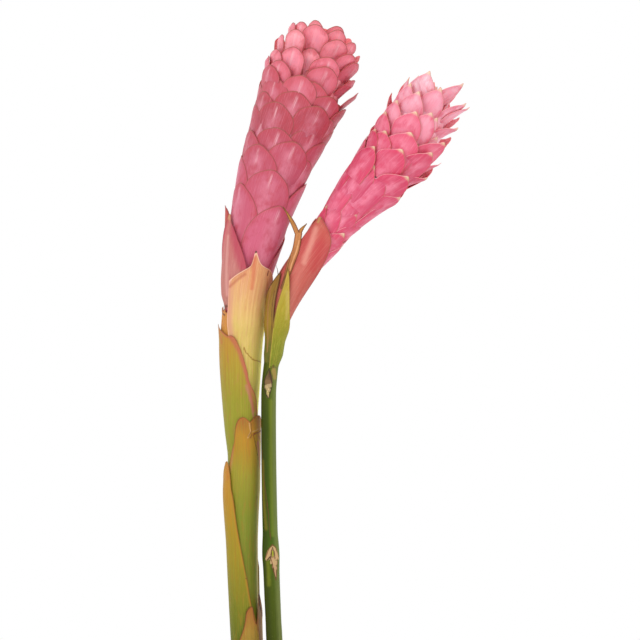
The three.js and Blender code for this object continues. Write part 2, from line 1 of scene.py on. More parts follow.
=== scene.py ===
"""Potted pink ginger: fine bracts, sheaths, stems, pot and soil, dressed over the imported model.

Shapes are worked out in millimetres, in the model's own frame (+Z up, front at -Y), and turned into
metres when a mesh is made. Angles round a stem are in degrees from the front towards the right.
"""

import math
import bpy
import numpy as np
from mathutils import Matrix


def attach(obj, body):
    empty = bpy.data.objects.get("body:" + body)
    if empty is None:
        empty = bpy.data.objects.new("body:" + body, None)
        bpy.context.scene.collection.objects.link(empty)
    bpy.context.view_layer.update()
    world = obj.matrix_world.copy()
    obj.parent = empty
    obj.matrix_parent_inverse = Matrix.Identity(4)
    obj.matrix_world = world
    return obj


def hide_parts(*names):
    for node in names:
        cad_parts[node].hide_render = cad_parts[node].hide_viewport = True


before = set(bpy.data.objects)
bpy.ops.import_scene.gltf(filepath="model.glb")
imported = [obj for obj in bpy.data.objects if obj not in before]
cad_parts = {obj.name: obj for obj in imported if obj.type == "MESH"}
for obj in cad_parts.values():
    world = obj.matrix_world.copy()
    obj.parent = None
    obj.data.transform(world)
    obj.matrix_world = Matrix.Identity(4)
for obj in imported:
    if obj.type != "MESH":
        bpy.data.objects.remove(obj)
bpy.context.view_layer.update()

# All but MM and GOLDEN_ANGLE in mm: the gap between pieces, a sheath's thickness and that at its margin, the
# step from one sheath to the next, the z of s = 0, and the s or z where things begin

MM = 0.001
GAP = 0.3
BLADE = 0.8
MARGIN = 0.35
LAYER = 1.4
FIRST_LAYER = GAP + BLADE
HEAD_LEVEL = 489.0
GOLDEN_ANGLE = 137.508
STALK_FOOT = 5.0
BRACT_FOOT = 8.0
LINE_BOTTOM, LINE_TOP = 40.0, 840.0
STEM_FOOT = 70.3 - HEAD_LEVEL
SHEATH_FOOT = -335.0


# Small formulas


def smooth(x, low, high):
    """3t^2 - 2t^3 with t = (x - low) / (high - low), held between 0 and 1."""
    t = np.clip((np.asarray(x, float) - low) / (high - low), 0.0, 1.0)
    return t * t * (3.0 - 2.0 * t)


def lerp(a, b, t):
    """a + (b - a) t."""
    return a + (b - a) * t


def hump(x, centre, width):
    """exp(-((x - centre) / width)^2)."""
    return np.exp(-(((np.asarray(x, float) - centre) / width) ** 2))


def profile(points):
    """r(s), a curve through points (s, r): straight pieces rounded off by a 5-point mean 4 mm apart."""
    s, r = np.array(points, float).T
    steps = 4.0 * np.arange(-2, 3)

    def radius(x):
        """The mean of the straight pieces at the five steps about x."""
        x = np.asarray(x, float)
        return np.mean([np.interp(x + step, s, r) for step in steps], axis=0)

    return radius


# Centre lines, as in the CAD source


def x_of_a(z):
    """x(z) of the first plant: a parabola below 400, one above 455 eased off above 680, a hump at 375."""
    return (
        -15.3
        + 1.2e-4 * np.minimum(0.0, z - 400.0) ** 2
        + 9.4e-4 * np.maximum(0.0, z - 455.0) ** 2
        - 1.9e-3 * np.maximum(0.0, z - 680.0) ** 2
        + 2.0 * hump(z, 375.0, 25.0)
    )


def x_of_b(z):
    """x(z) of the second plant: upright, then leaning right by a soft step in slope at 516, eased at 664.

    A parabola bends it below 420, a smooth step moves it over at 430 to 480, and it has a hump at 642.
    """
    return (
        9.6
        + 3.2 * smooth(z, 430.0, 480.0)
        + 1.2e-4 * np.minimum(0.0, z - 420.0) ** 2
        + 15.1 * np.log(1.0 + np.exp((z - 516.0) / 18.0))
        - 4.2 * np.log(1.0 + np.exp((z - 664.0) / 12.0))
        + 6.0 * hump(z, 642.0, 26.0)
    )


class CentreLine:
    """A centre line measured by length s, which is 0 at HEAD_LEVEL, with a frame at each point."""

    def __init__(self, x_of, depth):
        z = np.arange(LINE_BOTTOM, LINE_TOP)
        x = x_of(z)
        length = np.concatenate([[0.0], np.cumsum(np.hypot(np.diff(x), 1.0))])
        self.length = length - length[int(HEAD_LEVEL - LINE_BOTTOM)]
        self.z = z
        self.x_of = x_of
        self.depth = depth

    def at(self, s):
        """(centre, along, right) at lengths s: along = (x', 0, 1), right = (1, 0, -x'), both made unit."""
        z = np.interp(s, self.length, self.z)
        slant = (self.x_of(z + 1.0) - self.x_of(z - 1.0)) / 2.0
        size = np.hypot(slant, 1.0)
        zero = np.zeros_like(z)
        centre = np.stack([self.x_of(z), zero + self.depth, z], axis=-1)
        along = np.stack([slant / size, zero, 1.0 / size], axis=-1)
        right = np.stack([1.0 / size, zero, -slant / size], axis=-1)
        return centre, along, right

    def point(self, s, degrees, r):
        """centre(s) + r (front cos a + right sin a)."""
        centre, _, right = self.at(s)
        return centre + np.asarray(r)[..., None] * outward(right, degrees)


FRONT = np.array([0.0, -1.0, 0.0])


def outward(right, degrees):
    """front cos a + right sin a."""
    angle = np.radians(np.asarray(degrees, float))[..., None]
    return FRONT * np.cos(angle) + right * np.sin(angle)


def around(right, degrees):
    """right cos a - front sin a."""
    angle = np.radians(np.asarray(degrees, float))[..., None]
    return right * np.cos(angle) - FRONT * np.sin(angle)


LINE_A = CentreLine(x_of_a, 6.0)
LINE_B = CentreLine(x_of_b, -9.0)

body_a = profile(
    [
        (STEM_FOOT, 8.4), (-290, 8.4), (-240, 9), (-190, 9.8), (-143, 12.5), (-117, 11.2), (-97, 12.7),
        (-80, 13.4), (-40, 16.5), (-8, 18.1), (8, 18.2), (23, 18.2), (60, 21.9), (120, 27.8),
    ]
)
body_b = profile(
    [
        (STEM_FOOT, 7), (-284, 7.1), (-277, 7.7), (-270, 7.1), (-212, 7.3), (-199, 8.3), (-188, 6.8),
        (-60, 6.7), (-25, 6.7), (-10, 7.1), (0, 7.9), (25, 9.8),
    ]
)
wrap_b = profile(
    [
        (-40, 6.7), (-25, 6.7), (-10, 7.1), (0, 8), (12, 10), (25, 12), (40, 13.3), (55, 14.5), (70, 15.7),
        (85, 16.9), (100, 18.1), (120, 19.7),
    ]
)


# Mesh building


def put(name, data):
    """A new object in the scene, at the origin."""
    thing = bpy.data.objects.new(name, data)
    bpy.context.scene.collection.objects.link(thing)
    return thing


def drop_repeats(faces):
    """Faces without the corners that repeat the one before; faces with fewer than three corners go."""
    kept = []
    for face in faces:
        corners = [c for i, c in enumerate(face) if c != face[i - 1]]
        if len(corners) > 2:
            kept.append(corners)
    return kept


class Topology:
    """Faces for a kind of grid, made once, and the grid points that they use."""

    def __init__(self, ids, quads):
        used = np.unique(ids[quads])
        renumber = np.zeros(ids.max() + 1, int)
        renumber[used] = np.arange(len(used))
        self.used = used
        self.faces = drop_repeats(renumber[ids[quads]].tolist())


def grid_quads(ids):
    """(n, 4) corners of each cell of an id grid, in the order that faces outward."""
    a, b = ids[:-1, :-1], ids[:-1, 1:]
    c, d = ids[1:, 1:], ids[1:, :-1]
    return np.stack([a, b, c, d], axis=-1).reshape(-1, 4)


def shell_topology(rows, columns, pointed):
    """A plate between an outer and an inner grid. If pointed, each grid's last row is one point."""
    n = rows * columns
    ids = np.arange(2 * n)
    if pointed:
        ids[n - columns : n] = n - columns
        ids[2 * n - columns :] = 2 * n - columns
    grid = np.arange(n).reshape(rows, columns)
    quads = [grid_quads(grid), grid_quads(grid + n)[:, ::-1]]
    bottom = np.stack([grid[0, 1:], grid[0, :-1], grid[0, :-1] + n, grid[0, 1:] + n], axis=-1)
    top = np.stack([grid[-1, :-1], grid[-1, 1:], grid[-1, 1:] + n, grid[-1, :-1] + n], axis=-1)
    left = np.stack([grid[:-1, 0], grid[1:, 0], grid[1:, 0] + n, grid[:-1, 0] + n], axis=-1)
    right = np.stack([grid[1:, -1], grid[:-1, -1], grid[:-1, -1] + n, grid[1:, -1] + n], axis=-1)
    return Topology(ids, np.concatenate(quads + [bottom, top, left, right]))


def ring_topology(rows, columns):
    """A surface of closed rings from the bottom up, whose first and last rings are points."""
    ids = np.arange(rows * columns)
    ids[:columns] = 0
    ids[-columns:] = (rows - 1) * columns
    grid = np.arange(rows * columns).reshape(rows, columns)
    grid = np.concatenate([grid, grid[:, :1]], axis=1)
    return Topology(ids, grid_quads(grid))


class Piece:
    """Collects closed surfaces with a few numbers per point, then makes one object of them."""

    def __init__(self):
        self.points = []
        self.faces = []
        self.numbers = {}
        self.count = 0

    def add(self, topology, points, **numbers):
        """Adds one closed surface; a number is an array like the points, or one value for them all."""
        used = topology.used
        points = points.reshape(-1, 3)[used]
        self.faces += [[c + self.count for c in face] for face in topology.faces]
        self.points.append(points)
        for name, values in numbers.items():
            flat = np.broadcast_to(values, (len(used),)) if np.ndim(values) == 0 else values.reshape(-1)[used]
            self.numbers.setdefault(name, []).append(flat)
        self.count += len(points)

    def add_shell(self, topology, outer, inner, **numbers):
        """Adds a plate between two grids that share their numbers, and inside, 0 outside and 1 inside."""
        shared = {name: v if np.ndim(v) == 0 else np.stack([v, v]) for name, v in numbers.items()}
        flat = np.zeros(outer.shape[:-1])
        self.add(topology, np.stack([outer, inner]), **shared, inside=np.stack([flat, flat + 1.0]))

    def make(self, node, material, sharp=50):
        """The object NODE_fine, in metres, that takes the place of its node; sharp is in degrees."""
        name = node + "_fine"
        mesh = bpy.data.meshes.new(name)
        mesh.from_pydata((np.concatenate(self.points) * MM).tolist(), [], self.faces)
        for key, values in self.numbers.items():
            layer = mesh.attributes.new(key, "FLOAT", "POINT")
            layer.data.foreach_set("value", np.concatenate(values).astype(np.float32))
        mesh.shade_smooth()
        mesh.set_sharp_from_angle(angle=math.radians(sharp))
        mesh.materials.append(material)
        mesh.update()
        piece = put(name, mesh)
        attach(piece, "root")
        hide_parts(node)


def distance_to(x, y, line_x, line_y):
    """Shortest distance from points (x, y) to a line of straight pieces, in the same plane."""
    ax, ay, bx, by = line_x[:-1], line_y[:-1], line_x[1:], line_y[1:]
    dx, dy = bx - ax, by - ay
    size = np.maximum(dx * dx + dy * dy, 1e-9)
    px, py = x[..., None] - ax, y[..., None] - ay
    t = np.clip((px * dx + py * dy) / size, 0.0, 1.0)
    return np.sqrt(((px - t * dx) ** 2 + (py - t * dy) ** 2).min(axis=-1))


# Shader nodes


def paint(colour):
    """Three numbers 0 to 255, as on a screen, turned into linear light; any other colour stays as it is.

    With v from 0 to 1, linear light is ((v + 0.055) / 1.055)^2.4, or v / 12.92 up to 0.04045.
    """
    if not isinstance(colour, tuple) or len(colour) != 3:
        return colour
    v = np.array(colour) / 255.0
    linear = np.where(v <= 0.04045, v / 12.92, ((v + 0.055) / 1.055) ** 2.4)
    return (*linear.tolist(), 1.0)


class Value:
    """A socket whose arithmetic adds Math nodes."""

    def __init__(self, tree, socket):
        self.tree = tree
        self.socket = socket

    def _math(self, operation, *inputs, clamp=False):
        node = self.tree.nodes.new("ShaderNodeMath")
        node.operation = operation
        node.use_clamp = clamp
        for socket, value in zip(node.inputs, inputs):
            join(self.tree, socket, value)
        return Value(self.tree, node.outputs[0])

    def __add__(self, other):
        return self._math("ADD", self, other)

    __radd__ = __add__

    def __sub__(self, other):
        return self._math("SUBTRACT", self, other)

    def __rsub__(self, other):
        return self._math("SUBTRACT", other, self)

    def __mul__(self, other):
        return self._math("MULTIPLY", self, other)

    __rmul__ = __mul__

    def __truediv__(self, other):
        return self._math("DIVIDE", self, other)

    def __abs__(self):
        return self._math("ABSOLUTE", self)

    def held(self):
        """Held between 0 and 1."""
        return self._math("ADD", self, 0.0, clamp=True)

    def least(self, other):
        """The smaller of the two."""
        return self._math("MINIMUM", self, other)

    def root(self):
        """The square root."""
        return self._math("SQRT", self)

    def step(self, start, end, low=0.0, high=1.0):
        """low before start, high after end, and a smooth step between; start may lie above end."""
        if start > end:
            start, end, low, high = end, start, high, low
        node = self.tree.nodes.new("ShaderNodeMapRange")
        node.interpolation_type = "SMOOTHSTEP"
        for socket, value in zip(node.inputs, (self, start, end, low, high)):
            join(self.tree, socket, value)
        return Value(self.tree, node.outputs[0])


def join(tree, socket, value):
    """Links a Value to a socket, or sets the socket to a constant."""
    if isinstance(value, Value):
        tree.links.new(value.socket, socket)
    else:
        socket.default_value = value


class Shader:
    """A material under construction."""

    def __init__(self, name):
        self.material = bpy.data.materials.new(name)
        self.material.use_nodes = True
        self.tree = self.material.node_tree
        self.surface = self.tree.nodes["Principled BSDF"]

    def node(self, kind, settings=(), inputs=(), output=0):
        """Any node: settings first, then inputs by name, then one of its outputs as a Value."""
        node = self.tree.nodes.new(kind)
        for key, value in dict(settings).items():
            setattr(node, key, value)
        for key, value in dict(inputs).items():
            join(self.tree, node.inputs[key], value)
        return Value(self.tree, node.outputs[output])

    def number(self, name):
        """A number kept at each point of the mesh."""
        return self.node("ShaderNodeAttribute", {"attribute_name": name}, output="Fac")

    def place(self):
        """The place on the object (m)."""
        return self.node("ShaderNodeTexCoord", output="Object")

    def vector(self, x, y, z):
        """(x, y, z) from three numbers."""
        return self.node("ShaderNodeCombineXYZ", (), {"X": x, "Y": y, "Z": z})

    def scaled(self, vector, by):
        """vector times by, axis by axis."""
        return self.node("ShaderNodeVectorMath", {"operation": "MULTIPLY"}, {0: vector, 1: by})

    def noise(self, vector, scale, detail=3.0, rough=0.55):
        """Noise from 0 to 1 at scale times vector."""
        return self.node(
            "ShaderNodeTexNoise",
            {"noise_dimensions": "3D"},
            {"Vector": vector, "Scale": scale, "Detail": detail, "Roughness": rough},
        )

    def mix(self, amount, a, b):
        """a + (b - a) amount, with amount held between 0 and 1."""
        settings = {"data_type": "RGBA", "clamp_factor": True}
        return self.node("ShaderNodeMix", settings, {0: amount, 6: paint(a), 7: paint(b)}, output=2)

    def layers(self, colour, *layers):
        """A colour under layers (mask, colour), laid on in turn."""
        for mask, tone in layers:
            colour = self.mix(mask, colour, tone)
        return colour

    def ramp(self, value, stops):
        """A colour that runs through stops (position, colour)."""
        node = self.tree.nodes.new("ShaderNodeValToRGB")
        elements = node.color_ramp.elements
        while len(elements) < len(stops):
            elements.new(0.5)
        for element, (position, colour) in zip(elements, stops):
            element.position = position
            element.color = paint(colour)
        join(self.tree, node.inputs[0], value)
        return Value(self.tree, node.outputs[0])

    def far(self, x, y, points):
        """Shortest distance from (x, y) to a line of straight pieces through points."""
        nearest = None
        for (ax, ay), (bx, by) in zip(points[:-1], points[1:]):
            dx, dy = bx - ax, by - ay
            px, py = x - ax, y - ay
            t = ((px * dx + py * dy) / max(dx * dx + dy * dy, 1e-6)).held()
            ex, ey = px - t * dx, py - t * dy
            square = ex * ex + ey * ey
            nearest = square if nearest is None else nearest.least(square)
        return nearest.root()

    def marks(self, colour, turn, s, scale, marks):
        """Strokes: each has a colour, an amount, a half width, a softness and its (degrees, s) points."""
        ragged = self.noise(self.vector(turn * scale * 0.9, s * 0.25, 4.0), 1.0, 3.0)
        x, y = turn * scale + (ragged - 0.5) * 1.2, s + (ragged - 0.5) * 2.5
        for tone, amount, width, soft, points in marks:
            spots = [(degrees * scale, height) for degrees, height in points]
            mask = self.far(x, y, spots).step(width + soft, max(0.0, width - soft)) * amount
            colour = self.mix(mask, colour, tone)
        return colour

    def near(self, point, stretch, reach):
        """1 at a point (m), falling to 0 at distance reach, with each axis scaled by stretch first."""
        gap = self.node("ShaderNodeVectorMath", {"operation": "SUBTRACT"}, {0: self.place(), 1: point})
        scaled = {0: self.scaled(gap, stretch)}
        return self.node("ShaderNodeVectorMath", {"operation": "LENGTH"}, scaled, output=1).step(reach, 0.0)

    def bump(self, height, distance, strength):
        """A relief of height times distance (m)."""
        return self.node("ShaderNodeBump", (), {"Height": height, "Distance": distance, "Strength": strength})

    def finish(self, colour, roughness, normal=None, coat=0.0, soft=0.0, specular=0.5):
        """Links the varying inputs and sets the constant ones, then returns the material."""
        inputs = self.surface.inputs
        join(self.tree, inputs["Base Color"], colour)
        join(self.tree, inputs["Roughness"], roughness)
        inputs["Specular IOR Level"].default_value = specular
        inputs["Coat Weight"].default_value = coat
        inputs["Coat Roughness"].default_value = 0.35
        inputs["Subsurface Weight"].default_value = soft
        inputs["Subsurface Radius"].default_value = (1.0, 0.4, 0.3)
        inputs["Subsurface Scale"].default_value = 0.003
        if normal is not None:
            join(self.tree, inputs["Normal"], normal)
        return self.material


# Bracts


def head_radius(head, s):
    """The head's surface, times (1 - u^p)^(1/p) on its dome, where u = (s - shoulder) / (top - shoulder)."""
    up = np.clip((s - head["shoulder"]) / (head["top"] - head["shoulder"]), 0.0, 1.0)
    dome = np.maximum(0.0, 1.0 - up ** head["power"]) ** (1.0 / head["power"])
    return surface_radius(head, np.minimum(s, head["shoulder"])) * dome


def dome_places(head):
    """A table of (s, area below) on the dome, at s = shoulder + high sin(t pi / 2)^(2 / power), t 0 to 1."""
    steps = np.arange(81) / 80.0
    high = head["top"] - head["shoulder"]
    s = head["shoulder"] + high * np.sin(steps * np.pi / 2.0) ** (2.0 / head["power"])
    r = head_radius(head, s)
    area = np.concatenate([[0.0], np.cumsum((r[1:] + r[:-1]) * np.hypot(np.diff(s), np.diff(r)))])
    return s, area


def surface_radius(head, s):
    """radius + growth s + by smooth(s, start, end), for the head's own spread of (by, start, end)."""
    by, start, end = head["spread"]
    return head["radius"] + head["growth"] * s + by * smooth(s, start, end)


def side_tip_a(n):
    """145 + 1.92 n - 0.917 n^2 below n = 0, and 145 + 1.62 n + 17.6 (1 - exp(-n / 4)) above."""
    return 145 + 1.92 * n - 0.917 * n * n if n < 0 else 145 + 1.62 * n + 17.6 * (1 - math.exp(-n / 4))


def side_tip_b(n):
    """93 + 2.4 n + 10 (1 - exp(-n / 6))."""
    return 93 + 2.4 * n + 10 * (1 - math.exp(-n / 6))


def bract_a(n, s, r, degrees, share):
    """The first head's bract n: broad and round, longer and more pointed near the base."""
    low = math.exp(-(n + 8) / 8)
    open_ = float(smooth(s, 205, 250))
    lean = r / surface_radius(HEAD_A, HEAD_A["shoulder"])
    length = min(lerp(36 + 85 * low, 33 - 3 * share, open_), s - BRACT_FOOT)
    right_side = max(0.0, math.sin(math.radians(degrees)))
    aside = open_ * math.sin(math.radians(degrees)) ** 2
    rise = math.atan(HEAD_A["growth"] + 4.5 / length)
    pressed = math.radians(8)
    return {
        "length": length,
        "half_width": lerp(20.5 + 9 * low, 19 - 8 * share, open_) * (1 - 0.15 * aside),
        "round_end": lerp(17 + 30 * low, 15 - 4 * share, open_) * (1 - 0.35 * aside),
        "taper": 0.3,
        "in_power": 2.0,
        "out_power": lerp(2.0, 1.5, low),
        "tip_slope": lerp(pressed, math.radians(10 + 28 * right_side) * lean, open_),
        "base_slope": lerp(2 * rise - pressed, math.radians(26) * lean, open_),
        "out": 0.0,
        "open": open_,
        "recurve": -2.4 * aside,
        "apex": 1.3 * (1 - aside),
        "cup": lerp(0.75, lerp(1.05, 0.42, abs(math.sin(math.radians(degrees)))), open_),
    }


def bract_b(n, s, r, degrees, share):
    """The second head's bract n: narrow and pointed, spreading from halfway up."""
    low = math.exp(-(n + 4) / 14)
    open_ = float(smooth(s, 150, 200))
    lean = float(smooth(r, 0, 24))
    right_side = max(0.0, math.sin(math.radians(degrees)))
    left_side = max(0.0, -math.sin(math.radians(degrees)))
    length = min(lerp(36 + 22 * low, 33 - 5 * share, open_), s - BRACT_FOOT)
    rise = math.atan(HEAD_B["growth"] + 4 / length)
    pressed = math.radians(lerp(8, 5, low))
    return {
        "length": length,
        "half_width": lerp(14 + 2 * low, 15.5 - 4 * share, open_),
        "round_end": lerp(19 + 8 * low, 16 + 4 * share, open_),
        "taper": lerp(0.1, 0.45, low),
        "in_power": lerp(1.9, 1.5, share),
        "out_power": lerp(1.35, 1.1, share),
        "tip_slope": lerp(pressed, math.radians(14 + 26 * right_side - 8 * left_side) * lean, open_),
        "base_slope": lerp(2 * rise - pressed, math.radians(20) * lean, open_),
        "out": 3 * right_side * open_ * lean,
        "open": open_,
        "recurve": 1.0 * open_ * right_side * lean,
        "apex": 1.8,
        "cup": lerp(0.75, lerp(1.05, 0.6, abs(math.sin(math.radians(degrees)))), open_),
    }


SEEN_A = [
    (223, -41), (224, 37), (231, 11), (232, -5), (233, -57), (236, 54), (240, -42), (245, 80), (247, 19),
    (248, -10), (248, 55), (250, -62), (255, -29), (255, 18), (259, 65), (263, -14), (264, 50), (273, 28),
    (273, -38), (275, 58), (281, -13), (282, 32), (282, -47),
]
SEEN_B = [
    (125, -30), (133, -42), (143, 15), (149, -10), (155, -48), (167, 56), (168, 8), (170, -24), (183, 29),
    (190, 74), (197, -6), (205, -44), (207, 36), (207, 90), (214, -5), (219, 45), (223, -58), (232, 68),
    (233, -12), (236, -50), (238, 12), (244, 65), (247, 52), (250, -20), (253, 16), (254, -42), (259, 75),
    (261, 11), (261, 60), (265, -31), (271, -18), (275, 48),
]
SEEN_REACH = 20.0
STALK_A = [
    (STALK_FOOT, 18), (20, 17.5), (50, 18.5), (110, 24.5), (170, 30.5), (215, 34), (240, 28), (256, 10),
    (262, 3),
]
STALK_B = [
    (STALK_FOOT, 8), (25, 7.5), (55, 9.5), (80, 11.4), (110, 13.6), (140, 17), (175, 21), (215, 22), (256, 8),
    (262, 2),
]

# The bud inside a crown: the lowest s that gives its bracts their form, its share of the crown's radius, the
# degrees by which it is turned, and how far its tips lean in

BUD_LEVEL = 230.0
BUD_SHARE = 0.76
BUD_TURN = 50.0
BUD_CLOSED = math.radians(24)

# A head's surface, its bracts' numbers and order, and moved, from a bract's number to (s, degrees, r, wide)

HEAD_A = {
    "radius": 18.0, "growth": 0.098, "spread": (2.0, 190.0, 225.0), "shoulder": 235.0, "top": 287.0,
    "power": 3.4, "first": -7, "apart": (-6,), "sides": 45, "crown": 32, "start": 0.0, "turn": GOLDEN_ANGLE,
    "shift": 6.0, "tip": side_tip_a, "shape": bract_a, "seen": SEEN_A, "thick": 1.1, "skew": 0.0,
    "tuck": 0.0,
    "moved": {
        40: (4, -8, 5, 1), 49: (5, 16, 1, 1), 65: (-5, -12, -2, 1), 70: (0, 24, 0, 1), 74: (-1, -60, 0, 1.1),
        75: (0, 87, 0, 1.1), 76: (0, 0, 1.5, 1.15),
    },
}
HEAD_B = {
    "radius": 9.7, "growth": 0.077, "spread": (11.5, 132.0, 196.0), "shoulder": 212.0, "top": 284.0,
    "power": 3.0, "first": -4, "apart": (), "sides": 47, "crown": 28, "start": 86.9, "turn": -GOLDEN_ANGLE,
    "shift": 5.5, "tip": side_tip_b, "shape": bract_b, "seen": SEEN_B, "thick": 0.9, "skew": 0.18,
    "tuck": 5.0,
    "moved": {
        26: (0, 0, -5, 1), 29: (0, 0, -1, 1), 34: (3, 0, -6, 1), 38: (0, 10, -0.5, 1), 42: (-1, 0, -4, 1),
        47: (2, 0, -6, 1), 52: (0, -16, 0, 1), 55: (6, 0, -3, 1), 67: (-8, 0, 0, 1), 69: (-2, -5, -1, 1),
        70: (-6, 0, 0, 1), 72: (-20, 24, -2, 0.9), 73: (-10, 0, -3, 1), 74: (0, 0, 2.5, 1.35),
    },
}


def settle(places, seen):
    """Moves the nearest bracts to the places where tips are seen, the closest pairs first."""
    pairs = []
    for i, place in enumerate(places):
        for j, (s, degrees) in enumerate(seen):
            turned = (degrees - place["degrees"] + 180.0) % 360.0 - 180.0
            pairs.append((math.hypot(s - place["s"], place["r"] * math.radians(turned)), i, j))
    used_places, used_spots = set(), set()
    for far, i, j in sorted(pairs):
        if far > SEEN_REACH or i in used_places or j in used_spots:
            continue
        used_places.add(i)
        used_spots.add(j)
        places[i]["s"], places[i]["degrees"] = seen[j]


def spiral_of(head):
    """Where each bract's tip would lie by itself: a golden angle spiral, tipped a little to the right."""
    dome_s, dome_area = dome_places(head)
    places = []
    for n in range(head["first"], head["sides"] + head["crown"]):
        if n in head["apart"]:
            continue
        degrees = math.fmod(head["start"] + head["turn"] * n, 360.0)
        share = max(0.0, (n - head["sides"] + 0.5) / head["crown"])
        base = np.interp(share * dome_area[-1], dome_area, dome_s) if share > 0 else head["tip"](n)
        s = float(base + head["shift"] * math.sin(math.radians(degrees)) * (1 - share))
        places.append({"n": n, "share": share, "s": s, "r": float(head_radius(head, s)), "degrees": degrees})
    return places


def young_bracts_of(head, draw):
    """The bud inside the crown.

    It is the same spiral from 18 bracts below the crown, turned by BUD_TURN and drawn in to BUD_SHARE of the
    radius. It lies 4 mm lower, its dome is 0.8 as high, and over the middle its bracts lean in, by BUD_CLOSED
    at their tips and 10 degrees at their bases. Eight more, k = 0 to 7, close it at r = 20 - 2.4 k.
    """
    last = head["sides"] + head["crown"]
    places = [place for place in spiral_of(head) if place["n"] >= head["sides"] - 18]
    places += [
        {"n": last, "share": 1.0, "s": head["top"] - 8 + k, "r": 20 - 2.4 * k, "degrees": 137.5 * k}
        for k in range(8)
    ]
    bracts = []
    for place in places:
        s = place["s"] - 4.0 - 0.2 * max(0.0, place["s"] - head["shoulder"])
        r = BUD_SHARE * place["r"]
        degrees = place["degrees"] + BUD_TURN
        change = draw.normal(size=3)
        bract = head["shape"](place["n"], max(s, BUD_LEVEL), r, degrees, place["share"])
        bract.update(
            s=s + 0.6 * change[0], r=r, degrees=degrees + 2.0 * change[1], rank=0.9 + 0.1 * place["n"] / last,
            vary=float(draw.random()), thick=head["thick"], skew=0.4 * head["skew"],
        )
        bract["tip_slope"] = 0.5 * bract["tip_slope"] - BUD_CLOSED * place["share"]
        bract["base_slope"] = 0.5 * bract["base_slope"] - math.radians(10) * place["share"]
        bract["half_width"] *= 0.9 + 0.04 * change[2]
        bracts.append(bract)
    return bracts


def bracts_of(head, draw):
    """Every bract of a head, with a small random change of place and form.

    A head's upper left is drawn in by tuck, its moved bracts are shifted by (s, degrees, r) and widened, and
    neighbours above s = 150 lie 0.6 mm apart by layer (n mod 3).
    """
    last = head["sides"] + head["crown"]
    bracts = []
    places = spiral_of(head)
    settle(places, head["seen"])
    for place in places:
        by_s, by_degrees, by_r, wide = head["moved"].get(place["n"], (0, 0, 0, 1))
        n, s, degrees = place["n"], place["s"] + by_s, place["degrees"] + by_degrees
        left = max(0.0, -math.sin(math.radians(degrees)))
        drawn_in = head["tuck"] * (0.4 * float(smooth(s, 150, 190)) + 0.7 * float(smooth(s, 222, 246))) * left
        r = float(head_radius(head, s)) + by_r - drawn_in
        change = draw.normal(size=6)
        bract = head["shape"](n, s, r, degrees, place["share"])
        loose = 0.3 + 0.7 * bract["open"]
        bract.update(
            s=s + 0.5 * change[0] * loose,
            r=r + bract["out"] + 0.6 * (n % 3 - 1) * float(smooth(s, 150, 170)),
            degrees=degrees + 1.2 * change[1],
            rank=(n - head["first"]) / (last - head["first"]),
            vary=float(draw.random()),
            thick=head["thick"],
            skew=head["skew"] * (1 - 0.6 * place["share"]) + 0.05 * change[4],
        )
        bract["half_width"] *= wide * (1 + 0.04 * change[2])
        bract["tip_slope"] += math.radians(2.5) * change[3] * loose
        bracts.append(bract)
    return bracts


BRACT_ROWS = 17
BRACT_COLUMNS = 13
BRACT_TOPOLOGY = shell_topology(BRACT_ROWS, BRACT_COLUMNS, True)


def half_width_at(bract, down):
    """w (1 - (1 - x)^p)^(1/q) (1 - taper (down / length)^2), with x = down / round_end held at 1."""
    x = np.minimum(down / bract["round_end"], 1.0)
    end = (1 - (1 - x) ** bract["in_power"]) ** (1 / bract["out_power"])
    return bract["half_width"] * end * (1 - bract["taper"] * (down / bract["length"]) ** 2)


